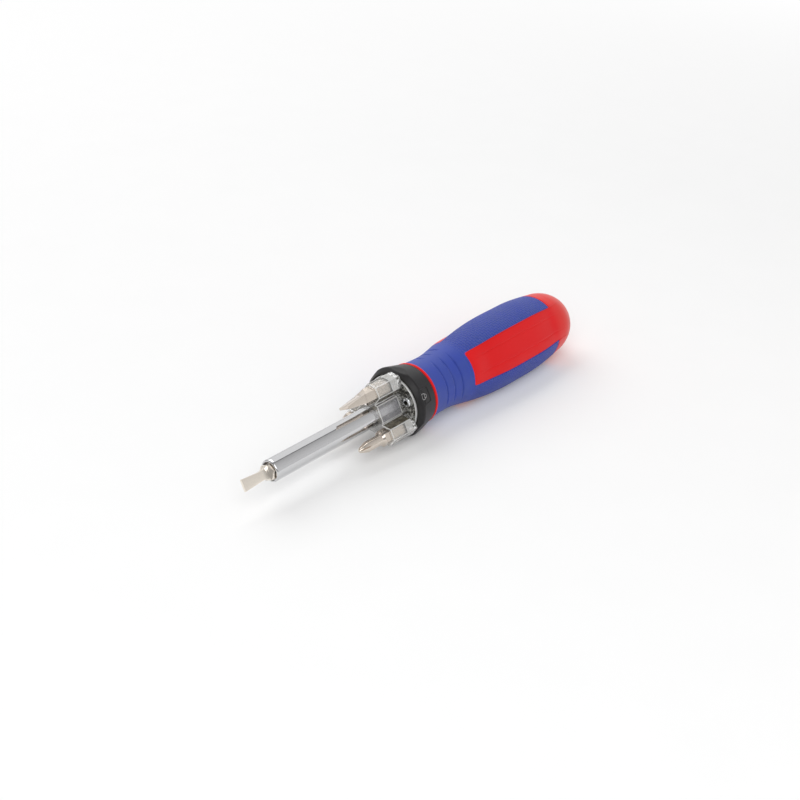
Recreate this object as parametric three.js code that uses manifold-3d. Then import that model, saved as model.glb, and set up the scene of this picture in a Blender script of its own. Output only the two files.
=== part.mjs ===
// Ratcheting multi-bit screwdriver, lying on its bottom panel and on one flat of its selector collar.
// Millimetres. The tool's axis runs along X, with the bit at -X and the butt at +X, and Z is up.
// A station is a place along the axis, counted from the middle of the red lip, positive to the butt.
// An angle around the axis is in degrees: 0 points to -Y, 90 to the top and 180 to +Y.

import * as THREE from 'three';
import { mergeVertices } from 'three/addons/utils/BufferGeometryUtils.js';
import Module from 'manifold-3d';

const wasm = await Module();
wasm.setup();

// Clearances
const SEAT_GAP = 0.05; // between faces that are clamped together
const BOND_GAP = 0.1; // between the soft grip and the core that it is moulded on
const RUN_GAP = 0.15; // radial play of what turns or slides in a bore
const SIDE_GAP = 0.3; // axial play of what turns between two faces
const PLAY_ANGLE = 2; // degrees left at each end of a stop

// Insert bits
const BIT_HEX = 6.35; // across flats
const BIT_LENGTH = 25;
const BIT_CHAMFER = 0.5;
const BLADE_LENGTH = 9.2;
const BLADE_TIP_THICKNESS = 1.0;
const BLADE_HOLLOW_RADIUS = 5.0;
const BLADE_WIDTH = 5.0;
const BLADE_NECK_WIDTH = 3.7;
const BLADE_ROOT_THICKNESS = 1.8;
const BLADE_ANGLE = 120; // way that the driving blade's width points
const SPARE_BLADE_WIDTH = 5.5;
const SPARE_BLADE_NECK_WIDTH = 5.5;
const SPARE_BLADE_ROOT_THICKNESS = 3.4;
const STORED_ANGLE = 30; // way that the stored blade's width points
const CROSS_NECK_DIAMETER = 4.6;
const CROSS_NECK_LENGTH = 8.0;
const CROSS_POINT_DIAMETER = 2.2;
const CROSS_TAPER_LENGTH = 4.2;
const CROSS_FLUTE_LENGTH = 5.4;
const SPARE_CROSS_NECK_DIAMETER = 4.0;

// Shaft
const SHAFT_DIAMETER = 9.5;
const SHAFT_REACH = 86.6; // from the lip to the shaft's front face
const SHAFT_CHAMFER = 0.4;
const BIT_SHOWING = 14.15; // length of the driving bit that stands out of the shaft
const SOCKET_LEAD_DEPTH = 1.0;
const SOCKET_LEAD_WALL = 0.8;
const MAGNET_DIAMETER = 5.0;
const MAGNET_LENGTH = 4.0;
const SEAT_HEX = 7.0; // across the flats of the gear's seat
const JOURNAL_DIAMETER = 6.6;
const CLIP_GROOVE_DEPTH = 0.6;
const CLIP_THICKNESS = 0.8;
const CLIP_WIDTH = 2.2;
const CLIP_MOUTH_HALF = 40; // degrees
const SHAFT_TAIL = 1.3; // length of shaft behind the clip

// Handle
const LIP_WIDTH = 1.4;
const LIP_STAND = 0.05; // how far the lip stands out over the collar's rear edge
const LIP_STEP = 0.45; // step down from the lip to the neck
const NECK_RADIUS = 12.85;
const NECK_STATION = 12.5;
const BARREL_RADIUS = 17.5;
const BARREL_FRONT = 57;
const BARREL_REAR = 70;
const GRIP_END = 89.2; // rear edge of the blue grip
const BUTT_START = 93;
const BUTT_RADIUS = 15.4;
const BUTT_END = 109.2;
const BUTT_FLAT_RADIUS = 3.0;
const SLEEVE_THICKNESS = 1.8;
const PANEL_ANGLES = [30, 150, 270];
const PANEL_HALF = 31; // degrees
const PANEL_FRONT = 26.4;
const PANEL_SINK = 0.5; // how far a panel's edges lie below the grip
const CREASE_DROP = 1.1; // how much lower than its edges a panel is at its two creases
const PAD_HALF = 15; // degrees, half of the flat strip between a panel's creases
const PAD_FADE = 8; // length over which the sunk flat runs out at the panel's front
const PAD_REAR = 84; // where the flats start to run out towards the butt
const PAD_END = 99; // where they have run out
const GROOVE_STATIONS = [9.1, 14.4, 19.6];
const GROOVE_HALF = 52; // degrees
const GROOVE_SWEEP = 1.2; // how far a groove's ends bend back
const GROOVE_RADIUS = 0.7;
const GROOVE_DEPTH = 0.4;

// Selector collar
const COLLAR_LENGTH = 12;
const COLLAR_FRONT_WALL = 1.9;
const COLLAR_REAR_WALL = 1.6;
const COLLAR_FLAT_DEPTH = 0.55; // how far the ridge stands out over the flats
const COLLAR_BEVEL = 2.0;
const COLLAR_RIDGE_WIDTH = 0.8;
const SELECTOR_TWIST = 20; // degrees each way from lock
const STOP_ANGLE = 210;
const STOP_HALF = 6; // degrees
const STOP_HEIGHT = 1.0;
const SYMBOL_ANGLE = 30;
const SYMBOL_RECESS_HALF = 13; // degrees
const SYMBOL_RECESS_LENGTH = 5.4;
const SYMBOL_RECESS_DEPTH = 0.3;

// Bit magazine
const MAGAZINE_REACH = 28; // from the lip to the front face
const DISC_OVERHANG = 1.25; // how far the disc reaches out over the ratchet body
const DISC_THICKNESS = 2.2;
const DISC_STAND = 0.5; // how far the disc stands out of the collar
const HUB_HEX = 13.2; // across flats
const POCKET_ANGLES = [90, -30, 210];
const POCKET_RING_RADIUS = 10.8;
const POCKET_WALL = 0.9;
const POCKET_DEPTH = 8.7;

// Ratchet
const BODY_RADIUS = 11.95;
const PLATE_THICKNESS = 1.6;
const STEM_HEX = 15; // across flats
const STEM_LENGTH = 12.75;
const GEAR_TEETH = 24;
const GEAR_THICKNESS = 5;
const GEAR_TIP_RADIUS = 6.2;
const GEAR_ROOT_RADIUS = 5.1;
const GEAR_TOOTH_TIP = 0.5; // width of a tooth at its tip
const GEAR_GAP_ROOT = 0.5; // width of a gap at its root
const WASHER_THICKNESS = 1.0;
const ROCKER_ANGLE = 90;
const ROCKER_THICKNESS = 4.5;
const ROCKER_COVER = 1.35; // how far the rocker's back lies inside the body's skin
const ROCKER_UNDER_RADIUS = 7.0;
const WING_HALF = 36; // degrees, half of the rocker's back
const WING_STEPS = 6; // facets of each half
const NOSE_ANGLE = 45; // degrees from the pivot to each nose
const NOSE_TIP_WIDTH = 0.3;
const NOSE_ROOT_WIDTH = 1.0;
const PIN_DIAMETER = 1.8;
const PIN_SOCKET = 2.0;
const PLUNGER_DIAMETER = 2.6;
const PLUNGER_LENGTH = 2.4;
const PLUNGER_WALL = 0.45;
const PLUNGER_POCKET = 1.5; // depth of its pocket in the collar
const DETENT_ANGLE = 330;
const BALL_DIAMETER = 2.4;
const NOTCH_DEPTH = 0.3;
const DETENT_DEPTH = 4.0;
const SPRING_WIRE = 0.35;
const SPRING_PITCH = 0.85;

// Magazine screws
const SCREW_ANGLES = [30, 150, 270];
const SCREW_INSET = 2.35; // from the ratchet body's skin to a screw's middle
const SCREW_DIAMETER = 2.0;
const SCREW_BITE = 4.0; // length in the ratchet body
const SCREW_HEAD_DIAMETER = 4.0;
const SCREW_HEAD_HEIGHT = 1.4;
const SCREW_RECESS_WIDTH = 0.7;
const SCREW_RECESS_DEPTH = 0.8;

// Facets of round pieces
const ROUND = 40;
const SMALL_ROUND = 20;
const TINY_ROUND = 10;

// Stations that follow from the sizes above
const lipFront = -LIP_WIDTH / 2;
const lipRear = LIP_WIDTH / 2;
const collarRear = lipFront - SIDE_GAP;
const collarFront = collarRear - COLLAR_LENGTH;
const ridgeFront = collarFront + COLLAR_BEVEL;
const ridgeRear = ridgeFront + COLLAR_RIDGE_WIDTH;
const discFront = collarFront - DISC_STAND;
const discRear = discFront + DISC_THICKNESS;
const plateFront = discRear + SEAT_GAP;
const plateRear = plateFront + PLATE_THICKNESS;
const headFront = plateRear + SEAT_GAP;
const headRear = lipFront - SEAT_GAP;
const gearFront = headFront + SIDE_GAP;
const gearRear = gearFront + GEAR_THICKNESS;
const washerFront = gearRear + SEAT_GAP;
const washerRear = washerFront + WASHER_THICKNESS;
const cavityFloor = washerRear + SEAT_GAP;
const rockerFront = headFront + SIDE_GAP;
const rockerRear = rockerFront + ROCKER_THICKNESS;
const windowFloor = rockerRear + SIDE_GAP;
const stemRear = headRear + STEM_LENGTH;
const clipFront = stemRear + RUN_GAP;
const clipRear = clipFront + CLIP_THICKNESS;
const shaftFront = -SHAFT_REACH;
const shaftRear = clipRear + SHAFT_TAIL;
const bitTip = shaftFront - BIT_SHOWING;
const bitRear = bitTip + BIT_LENGTH;
const socketFloor = bitRear + RUN_GAP;
const magazineFront = -MAGAZINE_REACH;
const pocketFloor = magazineFront + POCKET_DEPTH;
const storedTip = pocketFloor - RUN_GAP - BIT_LENGTH;
const pawlMiddle = (rockerFront + rockerRear) / 2;
const toolMiddle = (bitTip + BUTT_END) / 2;

// Radii and angles that follow
const creaseRadius = BARREL_RADIUS - PANEL_SINK - CREASE_DROP;
const restRadius = creaseRadius * Math.cos(THREE.MathUtils.degToRad(PAD_HALF));
const shaftRadius = SHAFT_DIAMETER / 2;
const collarBore = BODY_RADIUS + RUN_GAP + BOND_GAP;
const collarFrontRadius = collarBore + COLLAR_FRONT_WALL;
const collarRidgeRadius = restRadius + COLLAR_FLAT_DEPTH;
const collarRearRadius = collarBore + COLLAR_REAR_WALL;
const lipRadius = collarRearRadius + LIP_STAND;
const neckStartRadius = lipRadius - LIP_STEP;
const discRadius = BODY_RADIUS + DISC_OVERHANG;
const discPocketRadius = discRadius + SIDE_GAP;
const screwRingRadius = BODY_RADIUS - SCREW_INSET;
const rockerBackRadius = BODY_RADIUS - ROCKER_COVER;
const pinRingRadius = (rockerBackRadius + ROCKER_UNDER_RADIUS) / 2;
const socketHex = BIT_HEX + 2 * RUN_GAP;
const lobeHex = socketHex + 2 * POCKET_WALL;
const noseTravel = (GEAR_TIP_RADIUS - GEAR_ROOT_RADIUS) / 2;
const noseRest = GEAR_ROOT_RADIUS + noseTravel + RUN_GAP;
const noseLever = pinRingRadius * Math.sin(THREE.MathUtils.degToRad(NOSE_ANGLE));
const rockerTilt = noseTravel / noseLever;
const rockerRatio = rockerTilt / THREE.MathUtils.degToRad(SELECTOR_TWIST);
const plungerTip = rockerBackRadius + RUN_GAP;

// Finishes
const finish = (color, roughness, metalness) => (
  new THREE.MeshStandardMaterial({ color, roughness, metalness })
);
const redPolypropylene = () => finish(0xd8282c, 0.42, 0);
const blueRubber = () => finish(0x3c45a3, 0.7, 0);
const blackNylon = () => finish(0x2a2a2c, 0.45, 0);
const chromePlate = () => finish(0xd4d5d8, 0.12, 1);
const nickelSteel = () => finish(0xb9aea4, 0.3, 1);
const plainSteel = () => finish(0x8f9296, 0.4, 1);
const zincCasting = () => finish(0x9a9ca0, 0.55, 1);
const clearPolycarbonate = () => {
  const clear = finish(0xeef1f2, 0.08, 0);
  clear.transparent = true;
  clear.opacity = 0.3;
  return clear;
};

const screwdriver = new THREE.Group();
screwdriver.position.set(-toolMiddle, 0, restRadius);

function addPiece(name, geometry, material, matrix) {
  const mesh = new THREE.Mesh(geometry, material);
  mesh.name = name;
  if (matrix) mesh.applyMatrix4(matrix);
  screwdriver.add(mesh);
}

// Places around the axis
const radians = (degrees) => THREE.MathUtils.degToRad(degrees);

function flatPoint(radius, degrees) {
  return new THREE.Vector2(-radius * Math.cos(radians(degrees)), radius * Math.sin(radians(degrees)));
}

function around(station, radius, degrees) {
  const { x, y } = flatPoint(radius, degrees);
  return new THREE.Vector3(station, x, y);
}

function shiftedTo(station, radius, degrees) {
  return new THREE.Matrix4().setPosition(around(station, radius, degrees));
}

// Turns a piece made along +X so that it points outward at an angle, with its foot on the axis
function pointedOut(station, degrees) {
  const turn = new THREE.Matrix4().makeRotationX(radians(90 - degrees));
  const lift = new THREE.Matrix4().makeRotationY(-Math.PI / 2);
  return turn.multiply(lift).setPosition(station, 0, 0);
}

// Closed solids for cutting and joining
function solidOf(geometry) {
  const bare = geometry.clone();
  for (const name of Object.keys(bare.attributes)) {
    if (name !== 'position') bare.deleteAttribute(name);
  }
  const merged = mergeVertices(bare);
  const corners = merged.index.array;
  const place = merged.attributes.position;
  const triangles = [];
  let volume = 0;
  for (let i = 0; i < corners.length; i += 3) {
    const triangle = [corners[i], corners[i + 1], corners[i + 2]];
    if (new Set(triangle).size < 3) continue;
    const [a, b, c] = triangle.map((corner) => new THREE.Vector3().fromBufferAttribute(place, corner));
    volume += a.dot(b.cross(c));
    triangles.push(triangle);
  }
  const outward = volume < 0 ? triangles.map(([a, b, c]) => [a, c, b]) : triangles;
  const triVerts = new Uint32Array(outward.flat());
  return new wasm.Manifold(new wasm.Mesh({ numProp: 3, vertProperties: place.array, triVerts }));
}

function geometryOf(solid) {
  const mesh = solid.getMesh();
  const geometry = new THREE.BufferGeometry();
  geometry.setAttribute('position', new THREE.BufferAttribute(mesh.vertProperties, 3));
  geometry.setIndex(new THREE.BufferAttribute(mesh.triVerts, 1));
  return geometry;
}

const joined = (...solids) => solids.reduce((whole, next) => whole.add(next));
const cutBy = (solid, tools) => tools.reduce((left, tool) => left.subtract(tool), solid);

// A piece turned about the axis, from (station, radius) pairs that close on themselves or on the axis
function turned(outline, sides = ROUND) {
  const points = outline.map(([station, radius]) => new THREE.Vector2(radius, station));
  const onAxis = outline[0][1] === 0 && outline.at(-1)[1] === 0;
  if (!onAxis) points.push(points[0].clone());
  return solidOf(new THREE.LatheGeometry(points, sides).rotateZ(-Math.PI / 2));
}

function rod(from, to, radius, sides = ROUND) {
  return turned([[from, 0], [from, radius], [to, radius], [to, 0]], sides);
}

function tube(from, to, inner, outer, sides = ROUND) {
  return turned([[from, inner], [from, outer], [to, outer], [to, inner]], sides);
}

// A flat shape, drawn looking along the axis, pushed from one station to another
function pushed(shape, from, to, curveSegments = TINY_ROUND) {
  const settings = { depth: to - from, bevelEnabled: false, curveSegments };
  const axes = new THREE.Matrix4().makeBasis(
    new THREE.Vector3(0, 1, 0),
    new THREE.Vector3(0, 0, 1),
    new THREE.Vector3(1, 0, 0),
  );
  return solidOf(new THREE.ExtrudeGeometry(shape, settings).applyMatrix4(axes.setPosition(from, 0, 0)));
}

// An outline that runs anticlockwise, whichever way its corners are listed
function drawn(corners) {
  return new THREE.Shape(THREE.ShapeUtils.isClockWise(corners) ? [...corners].reverse() : corners);
}

// A hexagon with one flat facing an angle, about a centre off the axis if one is given
function hexagon(acrossFlats, flatAngle, centre = new THREE.Vector2()) {
  const corner = acrossFlats / 2 / Math.cos(Math.PI / 6);
  const corners = [30, 90, 150, 210, 270, 330].map((step) => flatPoint(corner, flatAngle + step).add(centre));
  return drawn(corners);
}

function sector(inner, outer, centre, half, steps = 6) {
  const angles = Array.from({ length: steps + 1 }, (_, i) => centre - half + (2 * half * i) / steps);
  const far = angles.map((angle) => flatPoint(outer, angle));
  const near = angles.map((angle) => flatPoint(inner, angle)).reverse();
  return drawn([...far, ...near]);
}

function slab(from, to) {
  const size = 4 * BARREL_RADIUS;
  const box = new THREE.BoxGeometry(to - from, size, size);
  return solidOf(box.translate((from + to) / 2, 0, 0));
}

// A skin over rings of equally many points, closed by a flat face at each end
function skinOver(rings) {
  const count = rings[0].length;
  const last = (rings.length - 1) * count;
  const index = [];
  for (let i = 0; i < last; i += count) {
    for (let j = 0; j < count; j += 1) {
      const next = (j + 1) % count;
      index.push(i + j, i + next, i + count + next, i + j, i + count + next, i + count + j);
    }
  }
  for (let j = 1; j + 1 < count; j += 1) {
    index.push(0, j + 1, j, last, last + j, last + j + 1);
  }
  const geometry = new THREE.BufferGeometry();
  geometry.setFromPoints(rings.flat());
  geometry.setIndex(index);
  return solidOf(geometry);
}

// Handle outline: neck, swell, straight barrel, taper and domed butt
function handleOutline() {
  const at = (station, radius) => new THREE.Vector2(station, radius);
  const neckRun = NECK_STATION - lipRear;
  const swellRun = BARREL_FRONT - NECK_STATION;
  const taperRun = BUTT_START - BARREL_REAR;
  const neck = new THREE.CubicBezierCurve(
    at(lipRear, neckStartRadius),
    at(lipRear + 0.3 * neckRun, NECK_RADIUS + 0.45 * (neckStartRadius - NECK_RADIUS)),
    at(NECK_STATION - 0.4 * neckRun, NECK_RADIUS),
    at(NECK_STATION, NECK_RADIUS),
  );
  const swell = new THREE.CubicBezierCurve(
    at(NECK_STATION, NECK_RADIUS),
    at(NECK_STATION + 0.21 * swellRun, NECK_RADIUS),
    at(BARREL_FRONT - 0.53 * swellRun, BARREL_RADIUS),
    at(BARREL_FRONT, BARREL_RADIUS),
  );
  const taper = new THREE.CubicBezierCurve(
    at(BARREL_REAR, BARREL_RADIUS),
    at(BARREL_REAR + 0.28 * taperRun, BARREL_RADIUS),
    at(BUTT_START - 0.4 * taperRun, BUTT_RADIUS + 0.63 * (BARREL_RADIUS - BUTT_RADIUS)),
    at(BUTT_START, BUTT_RADIUS),
  );
  const domeRun = BUTT_END - BUTT_START;
  const domeDrop = BUTT_RADIUS - BUTT_FLAT_RADIUS;
  const dome = new THREE.CubicBezierCurve(
    at(BUTT_START, BUTT_RADIUS),
    at(BUTT_START + 0.525 * domeRun, BUTT_RADIUS - 0.04 * domeDrop),
    at(BUTT_END - 0.074 * domeRun, BUTT_FLAT_RADIUS + 0.53 * domeDrop),
    at(BUTT_END, BUTT_FLAT_RADIUS),
  );
  const pieces = [neck.getPoints(4), swell.getPoints(7), taper.getPoints(5), dome.getPoints(7).slice(1)];
  return [...pieces[0], ...pieces[1].slice(1), ...pieces[2], ...pieces[3]];
}

const outline = handleOutline();
const sinkHalf = PANEL_HALF - 1;
const skinSteps = [-60, -50, -40, -PANEL_HALF, -sinkHalf, -PAD_HALF, -PAD_HALF / 2, 0];
const sectorSteps = [...skinSteps, ...skinSteps.slice(1, -1).map((step) => -step).reverse()];

// Radius of the handle's skin: each panel is sunk, falls to its two creases and is flat between them
function skinRadius(station, radius, step) {
  if (Math.abs(step) > sinkHalf) return radius;
  const crease = Math.max(Math.abs(step), PAD_HALF);
  const sunk = radius - PANEL_SINK - THREE.MathUtils.mapLinear(crease, PAD_HALF, sinkHalf, CREASE_DROP, 0);
  const low = (sunk * Math.cos(radians(crease))) / Math.cos(radians(step));
  const fadeIn = THREE.MathUtils.smoothstep(station, PANEL_FRONT, PANEL_FRONT + PAD_FADE);
  const fadeOut = 1 - THREE.MathUtils.smoothstep(station, PAD_REAR, PAD_END);
  return THREE.MathUtils.lerp(radius, low, fadeIn * fadeOut);
}

function skinRing({ x: station, y: radius }, inset) {
  return PANEL_ANGLES.flatMap((centre) => sectorSteps.map((step) => (
    around(station, skinRadius(station, radius, step) - inset, centre + step)
  )));
}

// The handle's inside up to the rear edge of the grip, with straight ends run out past it
function handleInside(inset, front, rear) {
  const middle = outline.filter((point) => point.x > lipRear && point.x < GRIP_END);
  const first = new THREE.Vector2(front, outline[0].y);
  const last = new THREE.Vector2(rear, outline.find((point) => point.x >= GRIP_END).y);
  return skinOver([first, outline[0], ...middle, last].map((point) => skinRing(point, inset)));
}

const wholeHandle = skinOver(outline.map((point) => skinRing(point, 0)));

function panelWedge(centre, half, front) {
  const deep = NECK_RADIUS - 2 * SLEEVE_THICKNESS;
  return pushed(sector(deep, 2 * BARREL_RADIUS, centre, half), front, GRIP_END + SIDE_GAP);
}

function makeHandleCore() {
  const inside = handleInside(SLEEVE_THICKNESS + BOND_GAP, lipFront, GRIP_END + SIDE_GAP);
  const lip = rod(lipFront, lipRear, lipRadius);
  const butt = wholeHandle.intersect(slab(GRIP_END, 2 * BUTT_END));
  const gapAngle = THREE.MathUtils.radToDeg(BOND_GAP / NECK_RADIUS);
  const panels = PANEL_ANGLES.map((centre) => (
    wholeHandle.intersect(panelWedge(centre, PANEL_HALF - gapAngle, PANEL_FRONT + BOND_GAP))
  ));
  const stemHole = pushed(hexagon(STEM_HEX + 2 * SEAT_GAP, 90), lipFront - 1, stemRear + SEAT_GAP);
  const tailHole = rod(stemRear, shaftRear + SIDE_GAP, STEM_HEX / 2 - SIDE_GAP, SMALL_ROUND);
  const core = cutBy(joined(inside, lip, butt, ...panels), [stemHole, tailHole]);
  addPiece('handle_core', geometryOf(core), redPolypropylene());
}

// One arc groove on the neck, bent back at its ends
function neckGroove(station, centre) {
  const neckAt = (place) => {
    const after = outline.findIndex((point) => point.x >= place);
    const [a, b] = [outline[after - 1], outline[after]];
    return THREE.MathUtils.mapLinear(place, a.x, b.x, a.y, b.y);
  };
  const points = [];
  for (let step = -GROOVE_HALF; step <= GROOVE_HALF; step += GROOVE_HALF / 4) {
    const place = station + GROOVE_SWEEP * (step / GROOVE_HALF) ** 2;
    points.push(around(place, neckAt(place) + GROOVE_RADIUS - GROOVE_DEPTH, centre + step));
  }
  const round = new THREE.Shape().absarc(0, 0, GROOVE_RADIUS, 0, 2 * Math.PI);
  const path = new THREE.CatmullRomCurve3(points);
  return solidOf(new THREE.ExtrudeGeometry(round, { steps: 8, curveSegments: 3, extrudePath: path }));
}

function makeGripSleeve() {
  const outside = wholeHandle.intersect(slab(lipRear + BOND_GAP, GRIP_END - BOND_GAP));
  const inside = handleInside(SLEEVE_THICKNESS, lipFront, GRIP_END + SIDE_GAP);
  const windows = PANEL_ANGLES.map((centre) => panelWedge(centre, PANEL_HALF, PANEL_FRONT));
  const grooves = PANEL_ANGLES.flatMap((centre) => (
    GROOVE_STATIONS.map((station) => neckGroove(station, centre))
  ));
  addPiece('grip_sleeve', geometryOf(cutBy(outside, [inside, ...windows, ...grooves])), blueRubber());
}

function makeSelectorCollar() {
  const ring = turned([
    [collarFront, discPocketRadius],
    [collarFront, collarFrontRadius],
    [ridgeFront, collarRidgeRadius],
    [ridgeRear, collarRidgeRadius],
    [collarRear, collarRearRadius],
    [collarRear, collarBore],
    [discRear + SIDE_GAP, collarBore],
    [discRear + SIDE_GAP, discPocketRadius],
  ]);
  const flats = pushed(hexagon(2 * restRadius, PANEL_ANGLES[0]), collarFront - 1, collarRear + 1);
  const lug = pushed(
    sector(BODY_RADIUS - STOP_HEIGHT, collarBore + STOP_HEIGHT, STOP_ANGLE, STOP_HALF),
    rockerFront,
    rockerRear,
  );
  const pocketEnd = collarBore + PLUNGER_POCKET;
  const pocketShape = rod(BODY_RADIUS, pocketEnd, PLUNGER_DIAMETER / 2 + RUN_GAP, TINY_ROUND);
  const pocket = pocketShape.transform(pointedOut(pawlMiddle, ROCKER_ANGLE).elements);
  const notches = [-SELECTOR_TWIST, 0, SELECTOR_TWIST].map((turn) => {
    const ball = new THREE.SphereGeometry(BALL_DIAMETER / 2 + RUN_GAP, TINY_ROUND, TINY_ROUND);
    const centre = around(pawlMiddle, collarBore + NOTCH_DEPTH - BALL_DIAMETER / 2, DETENT_ANGLE + turn);
    return solidOf(ball.translate(centre.x, centre.y, centre.z));
  });
  const recessRear = ridgeRear + SYMBOL_RECESS_LENGTH;
  const recessFloor = restRadius - SYMBOL_RECESS_DEPTH;
  const slope = (collarRidgeRadius - collarRearRadius) / (collarRear - ridgeRear);
  const recessSides = sector(collarBore, 2 * BARREL_RADIUS, SYMBOL_ANGLE, SYMBOL_RECESS_HALF);
  const recessCone = turned([
    [ridgeRear, recessFloor],
    [ridgeRear, 2 * BARREL_RADIUS],
    [recessRear, 2 * BARREL_RADIUS],
    [recessRear, recessFloor - slope * SYMBOL_RECESS_LENGTH],
  ]);
  const recess = pushed(recessSides, ridgeRear, recessRear).intersect(recessCone);
  const collar = cutBy(joined(ring.intersect(flats), lug), [pocket, recess, ...notches]);
  addPiece('selector_collar', geometryOf(collar), blackNylon());
}

// Clear magazine: hexagonal hub, three hexagonal pockets and the disc that is screwed down
function makeBitMagazine() {
  const hub = pushed(hexagon(HUB_HEX, POCKET_ANGLES[0]), magazineFront, discRear);
  const disc = rod(discFront, discRear, discRadius);
  const lobes = POCKET_ANGLES.map((angle) => {
    const centre = flatPoint(POCKET_RING_RADIUS, angle);
    return pushed(hexagon(lobeHex, angle, centre), magazineFront, collarFront - SIDE_GAP);
  });
  const pockets = POCKET_ANGLES.map((angle) => {
    const centre = flatPoint(POCKET_RING_RADIUS, angle);
    return pushed(hexagon(socketHex, angle, centre), magazineFront - 1, pocketFloor);
  });
  const bore = rod(magazineFront - 1, discRear + 1, shaftRadius + RUN_GAP);
  const screwHoles = SCREW_ANGLES.map((angle) => (
    rod(discFront - 1, discRear + 1, SCREW_DIAMETER / 2 + RUN_GAP, TINY_ROUND)
      .transform(shiftedTo(0, screwRingRadius, angle).elements)
  ));
  const magazine = cutBy(joined(hub, disc, ...lobes), [bore, ...pockets, ...screwHoles]);
  addPiece('bit_magazine', geometryOf(magazine), clearPolycarbonate());
}

function makeMagazineScrews() {
  const headFrontStation = discFront - SEAT_GAP - SCREW_HEAD_HEIGHT;
  const head = SCREW_HEAD_DIAMETER / 2;
  const crown = SCREW_HEAD_HEIGHT / 2;
  const shank = SCREW_DIAMETER / 2;
  const blank = turned([
    [headFrontStation, 0],
    [headFrontStation, head - crown],
    [headFrontStation + crown / 2, head - crown / 3],
    [headFrontStation + crown, head],
    [discFront - SEAT_GAP, head],
    [discFront - SEAT_GAP, shank],
    [headFront + SCREW_BITE - shank, shank],
    [headFront + SCREW_BITE, 0],
  ], SMALL_ROUND);
  const recessDepth = 2 * SCREW_RECESS_DEPTH;
  const arm = (width, height) => {
    const box = new THREE.BoxGeometry(recessDepth, width, height);
    return solidOf(box.translate(headFrontStation, 0, 0));
  };
  const screw = cutBy(blank, [arm(SCREW_RECESS_WIDTH, head), arm(head, SCREW_RECESS_WIDTH)]);
  SCREW_ANGLES.forEach((angle, i) => {
    const place = shiftedTo(0, screwRingRadius, angle);
    addPiece(`magazine_screw_${i + 1}`, geometryOf(screw), plainSteel(), place);
  });
}

// The shaft: bar with a socket in front, a hexagonal gear seat and a journal with a clip groove
function makeShaft() {
  const journal = JOURNAL_DIAMETER / 2;
  const bar = turned([
    [shaftFront, 0],
    [shaftFront, shaftRadius - SHAFT_CHAMFER],
    [shaftFront + SHAFT_CHAMFER, shaftRadius],
    [gearFront - SEAT_GAP, shaftRadius],
    [gearFront - SEAT_GAP, journal],
    [clipFront - SEAT_GAP, journal],
    [clipFront - SEAT_GAP, journal - CLIP_GROOVE_DEPTH],
    [clipRear + SEAT_GAP, journal - CLIP_GROOVE_DEPTH],
    [clipRear + SEAT_GAP, journal],
    [shaftRear - CLIP_GROOVE_DEPTH, journal],
    [shaftRear, journal - CLIP_GROOVE_DEPTH],
    [shaftRear, 0],
  ]);
  const seat = pushed(hexagon(SEAT_HEX, 90), gearFront - 1, gearRear);
  const socket = pushed(hexagon(socketHex, BLADE_ANGLE), shaftFront - 1, socketFloor);
  const leadRadius = shaftRadius - SOCKET_LEAD_WALL;
  const lead = rod(shaftFront - 1, shaftFront + SOCKET_LEAD_DEPTH, leadRadius, SMALL_ROUND);
  const magnetHole = rod(
    socketFloor - 1,
    socketFloor + MAGNET_LENGTH + SEAT_GAP,
    MAGNET_DIAMETER / 2 + SEAT_GAP,
    SMALL_ROUND,
  );
  const shaft = cutBy(joined(bar, seat), [socket, lead, magnetHole]);
  addPiece('shaft', geometryOf(shaft), chromePlate());
  const magnet = rod(socketFloor, socketFloor + MAGNET_LENGTH, MAGNET_DIAMETER / 2, SMALL_ROUND);
  addPiece('socket_magnet', geometryOf(magnet), plainSteel());
}

function makeRatchetGear() {
  const pitch = 360 / GEAR_TEETH;
  const tipHalf = THREE.MathUtils.radToDeg(GEAR_TOOTH_TIP / 2 / GEAR_TIP_RADIUS);
  const rootHalf = pitch / 2 - THREE.MathUtils.radToDeg(GEAR_GAP_ROOT / 2 / GEAR_ROOT_RADIUS);
  const corners = Array.from({ length: GEAR_TEETH }, (_, i) => {
    const middle = ROCKER_ANGLE + (i + 0.5) * pitch;
    return [
      flatPoint(GEAR_ROOT_RADIUS, middle - rootHalf),
      flatPoint(GEAR_TIP_RADIUS, middle - tipHalf),
      flatPoint(GEAR_TIP_RADIUS, middle + tipHalf),
      flatPoint(GEAR_ROOT_RADIUS, middle + rootHalf),
    ];
  });
  const wheel = drawn(corners.flat());
  wheel.holes.push(hexagon(SEAT_HEX + 2 * SEAT_GAP, 90));
  addPiece('ratchet_gear', geometryOf(pushed(wheel, gearFront, gearRear)), plainSteel());
}

function makeThrustWasher() {
  const washer = tube(washerFront, washerRear, JOURNAL_DIAMETER / 2 + RUN_GAP, GEAR_TIP_RADIUS, SMALL_ROUND);
  addPiece('thrust_washer', geometryOf(washer), plainSteel());
}

function makeShaftClip() {
  const inner = JOURNAL_DIAMETER / 2 - CLIP_GROOVE_DEPTH + SEAT_GAP;
  const ring = sector(inner, inner + CLIP_WIDTH, 270, 180 - CLIP_MOUTH_HALF, SMALL_ROUND);
  addPiece('shaft_clip', geometryOf(pushed(ring, clipFront, clipRear)), plainSteel());
}

// The rocker's back rises towards its wings by what the tilt takes away under the plunger
function rockerBack(step) {
  const swing = radians(THREE.MathUtils.clamp(step, -SELECTOR_TWIST, SELECTOR_TWIST));
  return rockerBackRadius + pinRingRadius * rockerRatio * swing ** 2;
}

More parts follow.
